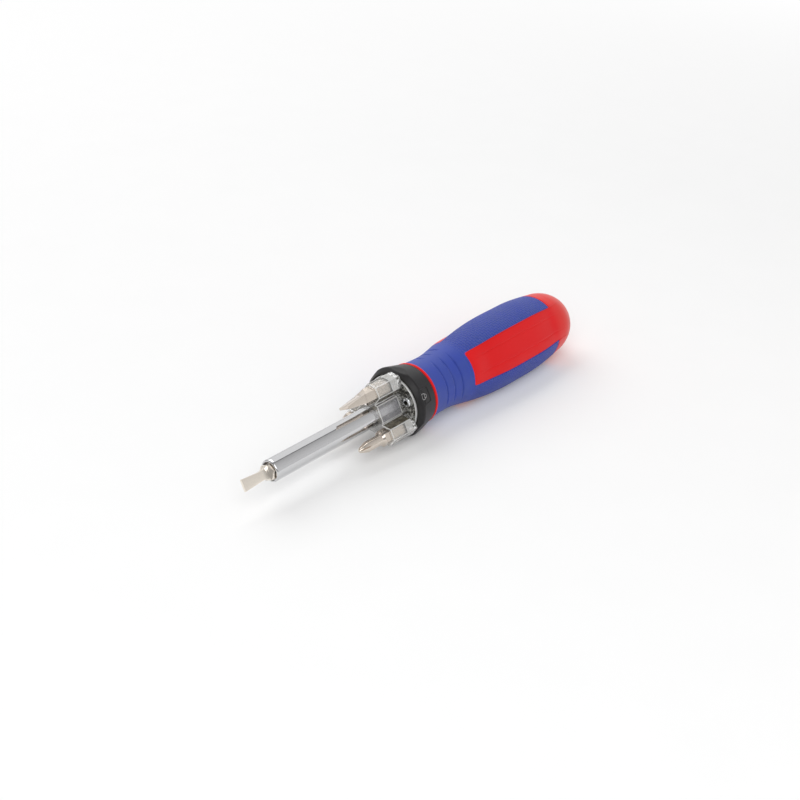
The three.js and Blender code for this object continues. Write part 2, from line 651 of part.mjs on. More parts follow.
function makePawlRocker() {
  const noseHalf = (width, radius) => THREE.MathUtils.radToDeg(width / 2 / radius);
  const tipHalf = noseHalf(NOSE_TIP_WIDTH, noseRest);
  const rootHalf = noseHalf(NOSE_ROOT_WIDTH, ROCKER_UNDER_RADIUS);
  const steps = Array.from({ length: 2 * WING_STEPS + 1 }, (_, i) => WING_HALF * (i / WING_STEPS - 1));
  const back = steps.map((step) => flatPoint(rockerBack(step), ROCKER_ANGLE + step));
  const nose = (side) => [
    flatPoint(ROCKER_UNDER_RADIUS + 2 * SIDE_GAP, ROCKER_ANGLE + side * (NOSE_ANGLE + rootHalf)),
    flatPoint(noseRest, ROCKER_ANGLE + side * (NOSE_ANGLE + tipHalf)),
    flatPoint(noseRest, ROCKER_ANGLE + side * (NOSE_ANGLE - tipHalf)),
    flatPoint(ROCKER_UNDER_RADIUS, ROCKER_ANGLE + side * (NOSE_ANGLE - rootHalf)),
  ];
  const under = steps.map((step) => flatPoint(ROCKER_UNDER_RADIUS, ROCKER_ANGLE - step)).slice(1, -1);
  const rocker = drawn([...back, ...nose(1), ...under, ...nose(-1).reverse()]);
  const pivot = flatPoint(pinRingRadius, ROCKER_ANGLE);
  rocker.holes.push(new THREE.Path().absarc(pivot.x, pivot.y, PIN_DIAMETER / 2 + RUN_GAP, 0, 2 * Math.PI));
  addPiece('pawl_rocker', geometryOf(pushed(rocker, rockerFront, rockerRear)), plainSteel());
}

const pinRear = windowFloor + PIN_SOCKET;

function makePawlPin() {
  const pin = rod(headFront + SEAT_GAP, pinRear - SEAT_GAP, PIN_DIAMETER / 2, SMALL_ROUND);
  addPiece('pawl_pin', geometryOf(pin), plainSteel(), shiftedTo(0, pinRingRadius, ROCKER_ANGLE));
}

// Casting that carries the shaft, the rocker and the collar, with a hexagonal stem in the handle
function makeRatchetBody() {
  const head = rod(headFront, headRear, BODY_RADIUS);
  const stem = pushed(hexagon(STEM_HEX, 90), cavityFloor + SEAT_GAP, stemRear);
  const open = headFront - 1;
  const far = 2 * BODY_RADIUS;
  const cavity = rod(open, cavityFloor, GEAR_TIP_RADIUS + 2 * SIDE_GAP);
  const bore = rod(cavityFloor - 1, stemRear + 1, JOURNAL_DIAMETER / 2 + RUN_GAP, SMALL_ROUND);
  const windowSide = (side) => [
    flatPoint(far, ROCKER_ANGLE + side * WING_HALF),
    flatPoint(BODY_RADIUS, ROCKER_ANGLE + side * (WING_HALF + 2 * PLAY_ANGLE)),
    flatPoint(ROCKER_UNDER_RADIUS + SIDE_GAP, ROCKER_ANGLE + side * (NOSE_ANGLE + 4 * PLAY_ANGLE)),
    flatPoint(GEAR_ROOT_RADIUS, ROCKER_ANGLE + side * (NOSE_ANGLE + 4 * PLAY_ANGLE)),
  ];
  const windowShape = drawn([...windowSide(1), ...windowSide(-1).reverse()]);
  const rockerWindow = pushed(windowShape, open, windowFloor);
  const pinHole = rod(windowFloor - 1, pinRear, PIN_DIAMETER / 2 + SEAT_GAP, SMALL_ROUND)
    .transform(shiftedTo(0, pinRingRadius, ROCKER_ANGLE).elements);
  const detentHole = rod(BODY_RADIUS - DETENT_DEPTH, far, BALL_DIAMETER / 2 + RUN_GAP, TINY_ROUND)
    .transform(pointedOut(pawlMiddle, DETENT_ANGLE).elements);
  const stopRoom = STOP_HALF + SELECTOR_TWIST + PLAY_ANGLE;
  const stopSlot = pushed(
    sector(BODY_RADIUS - STOP_HEIGHT - SIDE_GAP, far, STOP_ANGLE, stopRoom),
    open,
    rockerRear + SIDE_GAP,
  );
  const screwHoles = SCREW_ANGLES.map((angle) => (
    rod(open, headFront + SCREW_BITE + SIDE_GAP, SCREW_DIAMETER / 2 + SEAT_GAP, SMALL_ROUND)
      .transform(shiftedTo(0, screwRingRadius, angle).elements)
  ));
  const tools = [cavity, bore, rockerWindow, pinHole, detentHole, stopSlot, ...screwHoles];
  addPiece('ratchet_body', geometryOf(cutBy(joined(head, stem), tools)), zincCasting());
}

function makeCoverPlate() {
  const plate = tube(plateFront, plateRear, shaftRadius + RUN_GAP, BODY_RADIUS);
  const screwHoles = SCREW_ANGLES.map((angle) => (
    rod(plateFront - 1, plateRear + 1, SCREW_DIAMETER / 2 + RUN_GAP, TINY_ROUND)
      .transform(shiftedTo(0, screwRingRadius, angle).elements)
  ));
  addPiece('cover_plate', geometryOf(cutBy(plate, screwHoles)), zincCasting());
}

// A round-wire spring along +X, between two distances from the axis
function spring(from, to, outerDiameter) {
  const coil = (outerDiameter - SPRING_WIRE) / 2;
  const first = from + SPRING_WIRE / 2;
  const run = to - from - SPRING_WIRE;
  const turns = run / SPRING_PITCH;
  const stepCount = Math.ceil(turns * 8);
  const points = Array.from({ length: stepCount + 1 }, (_, i) => {
    const turn = (2 * Math.PI * turns * i) / stepCount;
    return new THREE.Vector3(first + (run * i) / stepCount, coil * Math.cos(turn), coil * Math.sin(turn));
  });
  const wire = new THREE.Shape().absarc(0, 0, SPRING_WIRE / 2, 0, 2 * Math.PI);
  const path = new THREE.CatmullRomCurve3(points);
  return solidOf(new THREE.ExtrudeGeometry(wire, { steps: stepCount, curveSegments: 3, extrudePath: path }));
}

function makeSelectorPlunger() {
  const outer = PLUNGER_DIAMETER / 2;
  const inner = outer - PLUNGER_WALL;
  const out = pointedOut(pawlMiddle, ROCKER_ANGLE);
  const rear = plungerTip + PLUNGER_LENGTH;
  const floor = plungerTip + outer;
  const plunger = turned([
    [plungerTip, 0],
    [plungerTip + 0.08 * outer, 0.4 * outer],
    [plungerTip + 0.3 * outer, 0.75 * outer],
    [plungerTip + outer / 2, outer],
    [rear, outer],
    [rear, inner],
    [floor, inner],
    [floor, 0],
  ], TINY_ROUND);
  addPiece('selector_plunger', geometryOf(plunger), plainSteel(), out);
  const springEnd = collarBore + PLUNGER_POCKET - RUN_GAP;
  const coil = spring(floor + RUN_GAP, springEnd, 2 * (inner - RUN_GAP));
  addPiece('plunger_spring', geometryOf(coil), plainSteel(), out);
}

function makeDetent() {
  const ballRadius = BALL_DIAMETER / 2;
  const ballCentre = collarBore - RUN_GAP - ballRadius;
  const out = pointedOut(pawlMiddle, DETENT_ANGLE);
  const ball = new THREE.SphereGeometry(ballRadius, TINY_ROUND, TINY_ROUND).translate(ballCentre, 0, 0);
  addPiece('detent_ball', geometryOf(solidOf(ball)), plainSteel(), out);
  const springFoot = BODY_RADIUS - DETENT_DEPTH + RUN_GAP;
  const coil = spring(springFoot, ballCentre - ballRadius - RUN_GAP, BALL_DIAMETER - RUN_GAP);
  addPiece('detent_spring', geometryOf(coil), plainSteel(), out);
}

// Insert bits lie along +X from their tip at 0, with the blade's width upright, across two flats
function bitBlank() {
  const hexRadius = BIT_HEX / 2 / Math.cos(Math.PI / 6);
  const corner = hexRadius - BIT_CHAMFER;
  const prism = pushed(hexagon(BIT_HEX, 90), 0, BIT_LENGTH);
  const ends = turned([
    [0, 0],
    [0, hexRadius],
    [BIT_LENGTH - BIT_CHAMFER, hexRadius],
    [BIT_LENGTH, corner],
    [BIT_LENGTH, 0],
  ], SMALL_ROUND);
  return prism.intersect(ends);
}

// Looks along Y or Z at a shape drawn with its first coordinate along the bit
function milled(shape, across, lookAlongY) {
  const settings = { depth: 2 * across, bevelEnabled: false, curveSegments: 6 };
  const geometry = new THREE.ExtrudeGeometry(shape, settings).translate(0, 0, -across);
  if (lookAlongY) geometry.rotateX(Math.PI / 2);
  return solidOf(geometry);
}

// One half of a blade's outline: straight from tip to root, then hollowed out to the hexagon
function bladeHalf(tip, root) {
  const rise = BIT_HEX - root;
  const run = Math.min(BLADE_HOLLOW_RADIUS, Math.sqrt(2 * BLADE_HOLLOW_RADIUS * rise - rise ** 2));
  const hollow = [0.2, 0.4, 0.6, 0.8, 1].map((share) => {
    const height = BLADE_HOLLOW_RADIUS - Math.sqrt(BLADE_HOLLOW_RADIUS ** 2 - (share * run) ** 2);
    return new THREE.Vector2(BLADE_LENGTH + share * run, root + height);
  });
  const shank = new THREE.Vector2(BIT_LENGTH, hollow.at(-1).y);
  return [new THREE.Vector2(0, tip), new THREE.Vector2(BLADE_LENGTH, root), ...hollow, shank];
}

function bladeOutline(tip, root) {
  const half = bladeHalf(tip / 2, root / 2);
  const mirrored = half.map((point) => new THREE.Vector2(point.x, -point.y)).reverse();
  return new THREE.Shape([...half, ...mirrored]);
}

function slottedBit(width, neckWidth, rootThickness) {
  const sideways = milled(bladeOutline(BLADE_TIP_THICKNESS, rootThickness), BIT_HEX, false);
  const plan = milled(bladeOutline(width, neckWidth), BIT_HEX, true);
  return bitBlank().intersect(sideways).intersect(plan);
}

// A cross point: a tapered neck with four flutes that run out towards the hexagon
function crossBit(neckDiameter) {
  const neck = neckDiameter / 2;
  const point = CROSS_POINT_DIAMETER / 2;
  const neckEnd = CROSS_TAPER_LENGTH + CROSS_NECK_LENGTH;
  const shoulder = neckEnd + BIT_HEX / 2 - neck;
  const turnedFront = turned([
    [0, 0],
    [0, point / 2],
    [point / 2, point],
    [CROSS_TAPER_LENGTH, neck],
    [neckEnd, neck],
    [shoulder + BIT_HEX / 2, BIT_HEX],
    [BIT_LENGTH + 1, BIT_HEX],
    [BIT_LENGTH + 1, 0],
  ], SMALL_ROUND);
  const fluteFloor = point / 2;
  const fluteSlope = Math.atan2(neck - fluteFloor, CROSS_FLUTE_LENGTH);
  const vee = new THREE.Shape([
    new THREE.Vector2(0, 0),
    new THREE.Vector2(-neck, neck),
    new THREE.Vector2(neck, neck),
  ]);
  const flutes = [0, 90, 180, 270].map((angle) => {
    const settings = { depth: 2 * CROSS_FLUTE_LENGTH, bevelEnabled: false };
    const flute = new THREE.ExtrudeGeometry(vee, settings).translate(0, 0, -1).rotateY(Math.PI / 2);
    flute.rotateX(Math.PI / 2).rotateY(-fluteSlope).translate(0, 0, fluteFloor).rotateX(radians(angle));
    return solidOf(flute);
  });
  return cutBy(bitBlank().intersect(turnedFront), flutes);
}

function makeBits() {
  const turnTo = (angle) => new THREE.Matrix4().makeRotationX(radians(90 - angle));
  const drive = new THREE.Matrix4().setPosition(bitTip, 0, 0).multiply(turnTo(BLADE_ANGLE));
  const driven = slottedBit(BLADE_WIDTH, BLADE_NECK_WIDTH, BLADE_ROOT_THICKNESS);
  const spare = slottedBit(SPARE_BLADE_WIDTH, SPARE_BLADE_NECK_WIDTH, SPARE_BLADE_ROOT_THICKNESS);
  addPiece('bit_slotted', geometryOf(driven), nickelSteel(), drive);
  const stored = [
    ['bit_slotted_spare', spare],
    ['bit_phillips', crossBit(CROSS_NECK_DIAMETER)],
    ['bit_phillips_spare', crossBit(SPARE_CROSS_NECK_DIAMETER)],
  ];
  stored.forEach(([name, bit], i) => {
    const place = shiftedTo(storedTip, POCKET_RING_RADIUS, POCKET_ANGLES[i]).multiply(turnTo(STORED_ANGLE));
    addPiece(name, geometryOf(bit), nickelSteel(), place);
  });
}

makeHandleCore();
makeGripSleeve();
makeSelectorCollar();
makeBitMagazine();
makeMagazineScrews();
makeShaft();
makeRatchetGear();
makeThrustWasher();
makeShaftClip();
makePawlRocker();
makePawlPin();
makeRatchetBody();
makeCoverPlate();
makeSelectorPlunger();
makeDetent();
makeBits();

export default screwdriver;
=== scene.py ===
# Looks of the multi-bit screwdriver: moulded handle, selector collar, clear magazine, shaft and bits.
import math

import bmesh
import bpy
from mathutils import Matrix, Vector


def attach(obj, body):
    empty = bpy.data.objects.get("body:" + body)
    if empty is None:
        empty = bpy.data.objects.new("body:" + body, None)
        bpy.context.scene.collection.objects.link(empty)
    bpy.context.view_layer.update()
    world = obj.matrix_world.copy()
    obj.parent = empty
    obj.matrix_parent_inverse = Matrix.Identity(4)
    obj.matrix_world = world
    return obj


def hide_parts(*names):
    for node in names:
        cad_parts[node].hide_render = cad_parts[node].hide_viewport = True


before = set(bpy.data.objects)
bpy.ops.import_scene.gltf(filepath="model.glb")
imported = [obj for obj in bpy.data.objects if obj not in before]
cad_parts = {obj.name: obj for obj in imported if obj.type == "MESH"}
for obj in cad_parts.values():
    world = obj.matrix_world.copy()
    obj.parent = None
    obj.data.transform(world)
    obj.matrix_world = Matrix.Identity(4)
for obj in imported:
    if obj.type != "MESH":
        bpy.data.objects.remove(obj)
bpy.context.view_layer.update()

# Sizes are in millimetres. A station runs along the tool from the middle of the red lip, negative towards
# the bit. An angle around the tool is in degrees: 0 points to -Y, 90 to the top.
MM = 0.001
TOOL_MIDDLE = 4.225
AXIS_HEIGHT = 15.35822

# Handle. A curve's four points, its two ends with two guides between them, are (station, radius).
LIP_HALF = 0.7
LIP_RADIUS = 13.85
LIP_PROFILE = [(-LIP_HALF, 12.3), (-LIP_HALF, 13.4), (-0.66, 13.6), (-0.52, 13.76), (-0.25, LIP_RADIUS),
               (0.25, LIP_RADIUS), (0.52, 13.76), (0.66, 13.6), (LIP_HALF, 13.3), (0.74, 12.1)]
NECK_CURVE = [(0.7, 13.4), (4.24, 13.098), (7.78, 12.85), (12.5, 12.85)]
SWELL_CURVE = [(12.5, 12.85), (21.845, 12.85), (33.415, 17.5), (57.0, 17.5)]
BARREL_LINE = [(57.0, 17.5), (61.33, 17.5), (65.67, 17.5), (70.0, 17.5)]
TAPER_CURVE = [(70.0, 17.5), (76.44, 17.5), (83.8, 16.723), (93.0, 15.4)]
DOME_CURVE = [(93.0, 15.4), (101.505, 14.904), (108.0, 9.572), (109.2, 3.0)]
BUTT_SEAM = 88.5
BUTT_DOME = 93.0
BUTT_END = 109.2
# Stations over which the butt is painted paler, a painted sheen.
PAINTED_SHEEN_START = 88.0
PAINTED_SHEEN_END = 102.0

# Red panels. Each is flat between two creases, and its skin runs on a little way under the grip.
PANEL_ANGLES = (30, 150, 270)
PANEL_HALF = 31.0
PANEL_UNDER = 0.6
PANEL_FRONT = 25.8
PANEL_SINK = 0.5
PANEL_CORNER = 1.4
PANEL_NEAR = 3.0
CREASE_DROP = 1.1
CREASE_LINE = 0.16
CREASE_HALF = 1.4
PAD_HALF = 15.0
PAD_FADE = 13.0
PAD_REAR = 84.0
PAD_END = 99.0

# Blue grip
GRIP_FRONT = 0.8
GRIP_REAR = 88.4
GRIP_EDGE = 0.4
GRIP_DEPTH = 3.0
GRIP_WALL_SLOPE = 12.0
GRIP_MEAN = 15.0
GROOVE_STATIONS = (8.6, 13.8, 18.7)
GROOVE_HALF = 58.0
GROOVE_FADE = 25.0
GROOVE_SWEEP = 0.5
GROOVE_WIDTH = 0.5
GROOVE_DEPTH = 0.7
RIB_START = 23.0
RIB_FULL = 28.0
RIB_PITCH = 1.4
RIB_LENGTH = 2.38
RIB_HEIGHT = 0.3

# Selector collar
COLLAR_FRONT = -13.0
COLLAR_REAR = -1.0
SLOPE_MIDDLE = -12.4
RIDGE_FRONT = -11.0
RIDGE_REAR = -10.2
RIDGE_RADIUS = 15.908
COLLAR_FRONT_RADIUS = 14.1
COLLAR_REAR_RADIUS = 13.8
CONE_SLOPE = (COLLAR_REAR_RADIUS - RIDGE_RADIUS) / (COLLAR_REAR - RIDGE_REAR)
COLLAR_BORE = 12.2
BORE_SHOWN = 6.0
DISC_POCKET = 13.5

# Padlock symbol, along and across from its middle, on its sunk patch
SYMBOL_ANGLE = 30.0
SYMBOL_HALF = 13.0
SYMBOL_REAR = -4.8
SYMBOL_DEPTH = 0.3
SYMBOL_MIDDLE = -8.6
LOCK_FRONT = -1.25
LOCK_REAR = 0.2
LOCK_HALF = 1.3
LOCK_CORNER = 0.3
BOW_START = 0.6
BOW_RADIUS = 0.8
INK_WIDTH = 0.22
INK_HALF = 0.03

# Clear magazine. The rows of its faces keep CUT_APART from the pockets' floors.
MAGAZINE_FRONT = -28.0
LOBE_REAR = -13.3
DISC_FRONT = -13.5
DISC_REAR = -11.3
DISC_RADIUS = 13.2
DISC_CHAMFER = 0.38
HUB_HEX = 13.2
LOBE_HEX = 8.45
POCKET_HEX = 6.65
POCKET_FLOOR = -19.3
POCKET_RING = 10.8
POCKET_ANGLES = (90, -30, 210)
EDGE_LINE = 0.28
WINDOW_REAR = -15.5
# A band of faces just in front of the window's rear shows a white painted highlight line.
WINDOW_HIGHLIGHT_BAND = 0.4
BORE_CLEARANCE = 0.15
CUT_APART = 0.1

# Magazine screws. The recess is (along from the head's front, radius), and its cross has two arms.
SCREW_ANGLES = (30, 150, 270)
SCREW_RING = 9.6
SCREW_SEAT = DISC_FRONT - 0.05
SCREW_HEAD = 2.0
SCREW_HEIGHT = 1.4
SCREW_CROWN = 0.75
SCREW_SHANK = 1.0
SCREW_END = -5.6
SCREW_POINT = 1.0
RECESS_PROFILE = [(-1.0, 0), (-1.0, 1.15), (0.1, 1.0), (1.0, 0.5), (1.1, 0)]
RECESS_RADIUS = 1.05
RECESS_DEPTH = 1.2
CROSS_LENGTH = 2.6
CROSS_WIDTH = 0.7
CROSS_DEPTH = 0.8

# Shaft
SHAFT_RADIUS = 4.75
SHAFT_FRONT = -86.6
SHAFT_REAR = 14.25
SHAFT_CHAMFER = 0.6
GEAR_SEAT = -9.35
GEAR_SEAT_REAR = -4.3
SEAT_HEX = 7.0
JOURNAL = 3.3
CLIP_GROOVE = (12.1, 13.0)
CLIP_DEPTH = 0.6
SOCKET_HEX = 6.65
SOCKET_LEAD = 3.95
SOCKET_FLOOR = -75.6
MAGNET_HOLE = 2.55
MAGNET_DEPTH = 4.0

# Insert bits. A blade is its width at the tip, its width at the neck and its thickness at the root.
BIT_HEX = 6.35
BIT_LENGTH = 25.0
BIT_CHAMFER = 0.5
BLADE_LENGTH = 9.2
BLADE_TIP = 1.0
BLADE_HOLLOW = 5.0
DRIVE_BLADE = (5.0, 3.7, 1.8)
SPARE_BLADE = (5.5, 5.5, 3.4)
DRIVE_TIP = -100.75
DRIVE_ANGLE = 120
STORED_TIP = -44.45
STORED_ANGLE = 30
POINT_RADIUS = 1.1
POINT_TAPER = 4.2
POINT_NECK = 8.0
POINT_FLUTE = 5.4
NEAR_NECK_RADIUS = 2.3
FAR_NECK_RADIUS = 2.0

# Studio and camera, in metres. A tone is (angle over the tool, grey): the grey wall is at -90, the ceiling
# at 0 and the white window wall at 90. A lamp is its name, place, size and watts.
FLOOR_REACH = 4.0
PAPER_LIFT = 0.055
PAPER_NEAR = 0.35
PAPER_FAR = 0.9
STUDIO_TONES = [(-90, 0.80), (-50, 0.72), (-8, 0.56), (2, 0.50), (3.5, 0.04), (7, 0.04), (10, 1.0),
                (60, 1.0), (84, 0.9), (90, 0.45)]
DIM_SIDE = (-0.6, 0.2)
DIM_LEVEL = 0.45
LAMPS = [("window_softbox", (0.15, 0.75, 0.95), 1.0, 5.2), ("front_softbox", (-0.8, -0.6, 0.9), 0.9, 6.2)]
CAMERA_SENSOR = 36.0
CAMERA_LENS = 60.13
CAMERA_SHIFT = 0.00125
CAMERA_NEAR = 0.01
CAMERA_PLACE = (-0.397338, -0.308508, 0.305773)
CAMERA_FORWARD = (0.67197, 0.53888, -0.50799)
CAMERA_RIGHT = (0.64988, -0.75800, 0.05558)


def at(station, radius, degrees):
    """The place in the model, in metres, of a station, a radius and an angle around the tool."""
    turn = math.radians(degrees)
    return Vector((
        (station - TOOL_MIDDLE) * MM,
        -radius * math.cos(turn) * MM,
        (AXIS_HEIGHT + radius * math.sin(turn)) * MM,
    ))


def station_of(face):
    """The station of a finished face's middle."""
    return face.center.x / MM + TOOL_MIDDLE


def eased(value, start, end):
    """0 before start, 1 after end, and a soft step between them."""
    share = min(max((value - start) / (end - start), 0.0), 1.0)
    return share * share * (3.0 - 2.0 * share)


def spaced(start, end, count):
    """Evenly spaced values from start to end, both included."""
    return [start + (end - start) * i / count for i in range(count + 1)]


def on_curve(curve, share):
    """The point of a four-point curve at a share of its way."""
    rest = 1.0 - share
    weights = (rest ** 3, 3 * rest ** 2 * share, 3 * rest * share ** 2, share ** 3)
    return tuple(sum(w * point[i] for w, point in zip(weights, curve)) for i in (0, 1))


def handle_radius(station):
    """Radius of the round handle at a station, before its panels are sunk."""
    curves = (NECK_CURVE, SWELL_CURVE, BARREL_LINE, TAPER_CURVE, DOME_CURVE)
    curve = next((c for c in curves if station <= c[3][0]), DOME_CURVE)
    low, high = 0.0, 1.0
    for _ in range(30):
        middle = (low + high) / 2
        if on_curve(curve, middle)[0] < station:
            low = middle
        else:
            high = middle
    return on_curve(curve, (low + high) / 2)[1]


def from_panel(degrees):
    """Degrees from the middle of the nearest panel."""
    return min(((degrees - centre + 180) % 360 - 180 for centre in PANEL_ANGLES), key=abs)


def shaded(name, mesh, sharp):
    """A smooth-shaded piece of a mesh, with edges kept crisp above an angle."""
    mesh.polygons.foreach_set("use_smooth", [True] * len(mesh.polygons))
    mesh.set_sharp_from_angle(angle=math.radians(sharp))
    piece = bpy.data.objects.new(name, mesh)
    bpy.context.scene.collection.objects.link(piece)
    return piece


def made(name, points, faces, finish, sharp=35.0, marks=None):
    """A piece from its points and faces, with a mark for each corner of each face as its UV map."""
    mesh = bpy.data.meshes.new(name)
    mesh.from_pydata(points, [], faces)
    mesh.validate()
    if marks:
        layer = mesh.uv_layers.new(name="around_and_lengthwise")
        for loop, mark in zip(layer.data, marks):
            loop.uv = mark
    mesh.materials.append(finish)
    return shaded(name, mesh, sharp)


def ringed(name, rings, finish, sharp=35.0, close_front=False, close_rear=False):
    """A skin over rings of (station, radius, degrees), with a UV map around and along it in metres."""
    count = len(rings[0])
    points = [at(*spot) for ring in rings for spot in ring]
    faces, marks = [], []
    for i in range(len(rings) - 1):
        for j in range(count):
            k = (j + 1) % count
            corners = [(i, j), (i + 1, j), (i + 1, k), (i, k)]
            faces.append([row * count + column for row, column in corners])
            for row, column in corners:
                station, _, degrees = rings[row][column]
                turn = degrees + (360 if k < j and column == k else 0)
                marks.append((math.radians(turn) * GRIP_MEAN * MM, station * MM))
    for closed, row, front in ((close_front, 0, True), (close_rear, len(rings) - 1, False)):
        if closed:
            ends = list(range(row * count, (row + 1) * count))
            faces.append(ends if front else ends[::-1])
            marks += [(0.0, rings[row][0][0] * MM)] * count
    return made(name, points, faces, finish, sharp, marks)


def prism(outline, along, low, high):
    """A straight-sided block: an outline pushed along X, Y or Z between two places, in millimetres."""
    order = {"X": (2, 0, 1), "Y": (0, 2, 1), "Z": (0, 1, 2)}[along]
    points = []
    for end in (low, high):
        for first, second in outline:
            spot = (first, second, end)
            points.append(tuple(spot[i] for i in order))
    count = len(outline)
    faces = [[i, (i + 1) % count, count + (i + 1) % count, count + i] for i in range(count)]
    faces += [list(range(count))[::-1], list(range(count, 2 * count))]
    return points, faces


def lathed(profile, sides):
    """A turned block around X from (x, radius) points that start and end on the axis, in millimetres."""
    points = [(profile[0][0], 0.0, 0.0)]
    for x, radius in profile[1:-1]:
        for i in range(sides):
            turn = 2 * math.pi * i / sides
            points.append((x, radius * math.cos(turn), radius * math.sin(turn)))
    points.append((profile[-1][0], 0.0, 0.0))
    faces = []
    last = len(points) - 1
    top = last - sides
    for i in range(sides):
        k = (i + 1) % sides
        faces.append([0, 1 + k, 1 + i])
        for row in range(len(profile) - 3):
            low = 1 + row * sides
            faces.append([low + i, low + k, low + sides + k, low + sides + i])
        faces.append([top + i, top + k, last])
    return points, faces


def rod(front, rear, radius, sides):
    """A plain round bar along X, in millimetres."""
    return lathed([(front, 0), (front, radius), (rear, radius), (rear, 0)], sides)


def block(shape, place=Matrix.Identity(4)):
    """A working solid at a place, still in millimetres, with its faces turned outward."""
    mesh = bpy.data.meshes.new("working_block")
    mesh.from_pydata([place @ Vector(p) for p in shape[0]], [], shape[1])
    mesh.validate()
    work = bmesh.new()
    work.from_mesh(mesh)
    bmesh.ops.recalc_face_normals(work, faces=work.faces)
    work.to_mesh(mesh)
    work.free()
    solid = bpy.data.objects.new("working_block", mesh)
    bpy.context.scene.collection.objects.link(solid)
    return solid


def settled(solid):
    """The mesh of a working solid with its modifiers applied."""
    bpy.context.view_layer.update()
    graph = bpy.context.evaluated_depsgraph_get()
    return bpy.data.meshes.new_from_object(solid.evaluated_get(graph))


def worked(solid, steps):
    """Cuts, joins or trims a working solid by others, in order, and returns it with the others gone."""
    for way, tool in steps:
        step = solid.modifiers.new("step", "BOOLEAN")
        step.operation = way
        step.solver = "EXACT"
        step.object = tool
        mesh = settled(solid)
        solid.modifiers.clear()
        solid.data = mesh
        bpy.data.objects.remove(tool)
    return solid


def finished(solid, name, finish, edge, place, sharp=35.0, others=()):
    """A working solid with its edges rounded, put in place in metres and given its finish, or several."""
    if edge:
        bevel = solid.modifiers.new("edge", "BEVEL")
        bevel.width = edge
        bevel.segments = 2
        bevel.limit_method = "ANGLE"
        bevel.angle_limit = math.radians(sharp)
        bevel.miter_outer = "MITER_ARC"
        bevel.use_clamp_overlap = True
    mesh = settled(solid)
    bpy.data.objects.remove(solid)
    mesh.transform(Matrix.Scale(MM, 4) @ place)
    wanted = [finish, *others]
    while len(mesh.materials) < len(wanted):
        mesh.materials.append(None)
    for i, material in enumerate(wanted):
        mesh.materials[i] = material
    mesh.name = name
    return shaded(name, mesh, sharp)


def tool_place(station, radius, degrees, turn=0.0):
    """Where a piece that is drawn along X from its own origin sits on the tool, in millimetres."""
    spot = at(station, radius, degrees) / MM
    return Matrix.Translation(spot) @ Matrix.Rotation(math.radians(turn), 4, "X")


def hexagon(across, turn=90.0, out=0.0, way=0.0):
    """Corners (y, z) of a hexagon with a flat that faces one angle and its middle out at another."""
    centre = (-out * math.cos(math.radians(way)), out * math.sin(math.radians(way)))
    corners = []
    for i in range(6):
        angle = math.radians(turn + 30 + 60 * i)
        reach = across / 2 / math.cos(math.pi / 6)
        corners.append((centre[0] - reach * math.cos(angle), centre[1] + reach * math.sin(angle)))
    return corners


def hex_radius(across, flat, degrees):
    """Distance to a hexagon's side at an angle."""
    step = (degrees - flat + 30) % 60 - 30
    return across / 2 / math.cos(math.radians(step))


# Finishes

def linear(colour):
    """A colour written as sRGB hex, turned to the linear values that a shader takes."""
    parts = [int(colour[i:i + 2], 16) / 255 for i in (1, 3, 5)]
    return [p / 12.92 if p <= 0.04045 else ((p + 0.055) / 1.055) ** 2.4 for p in parts] + [1.0]


def feed(tree, node, settings=(), links=()):
    """Sets a node's own values and joins what feeds it."""
    for name, value in dict(settings).items():
        if isinstance(name, int) or name in node.inputs:
            node.inputs[name].default_value = value
        else:
            setattr(node, name, value)
    for name, output in dict(links).items():
        tree.links.new(output, node.inputs[name])


def add(tree, kind, settings=(), links=()):
    """Adds a node to a finish, with its settings and what feeds it."""
    node = tree.nodes.new(kind)
    feed(tree, node, settings, links)
    return node


def empty_finish(name):
    """A finish with an empty node tree."""
    finish = bpy.data.materials.new(name)
    finish.use_nodes = True
    finish.node_tree.nodes.clear()
    return finish, finish.node_tree


def new_finish(name):
    """A finish with its node tree, its shader and its place coordinates, which are in metres."""
    finish, tree = empty_finish(name)
    shader = add(tree, "ShaderNodeBsdfPrincipled")
    add(tree, "ShaderNodeOutputMaterial", {}, {"Surface": shader.outputs["BSDF"]})
    return finish, tree, shader, add(tree, "ShaderNodeTexCoord")


def per_mm(size):
    """Texture scale for a pattern whose cells are this many millimetres, on coordinates in metres."""
    return 1.0 / (size * MM)


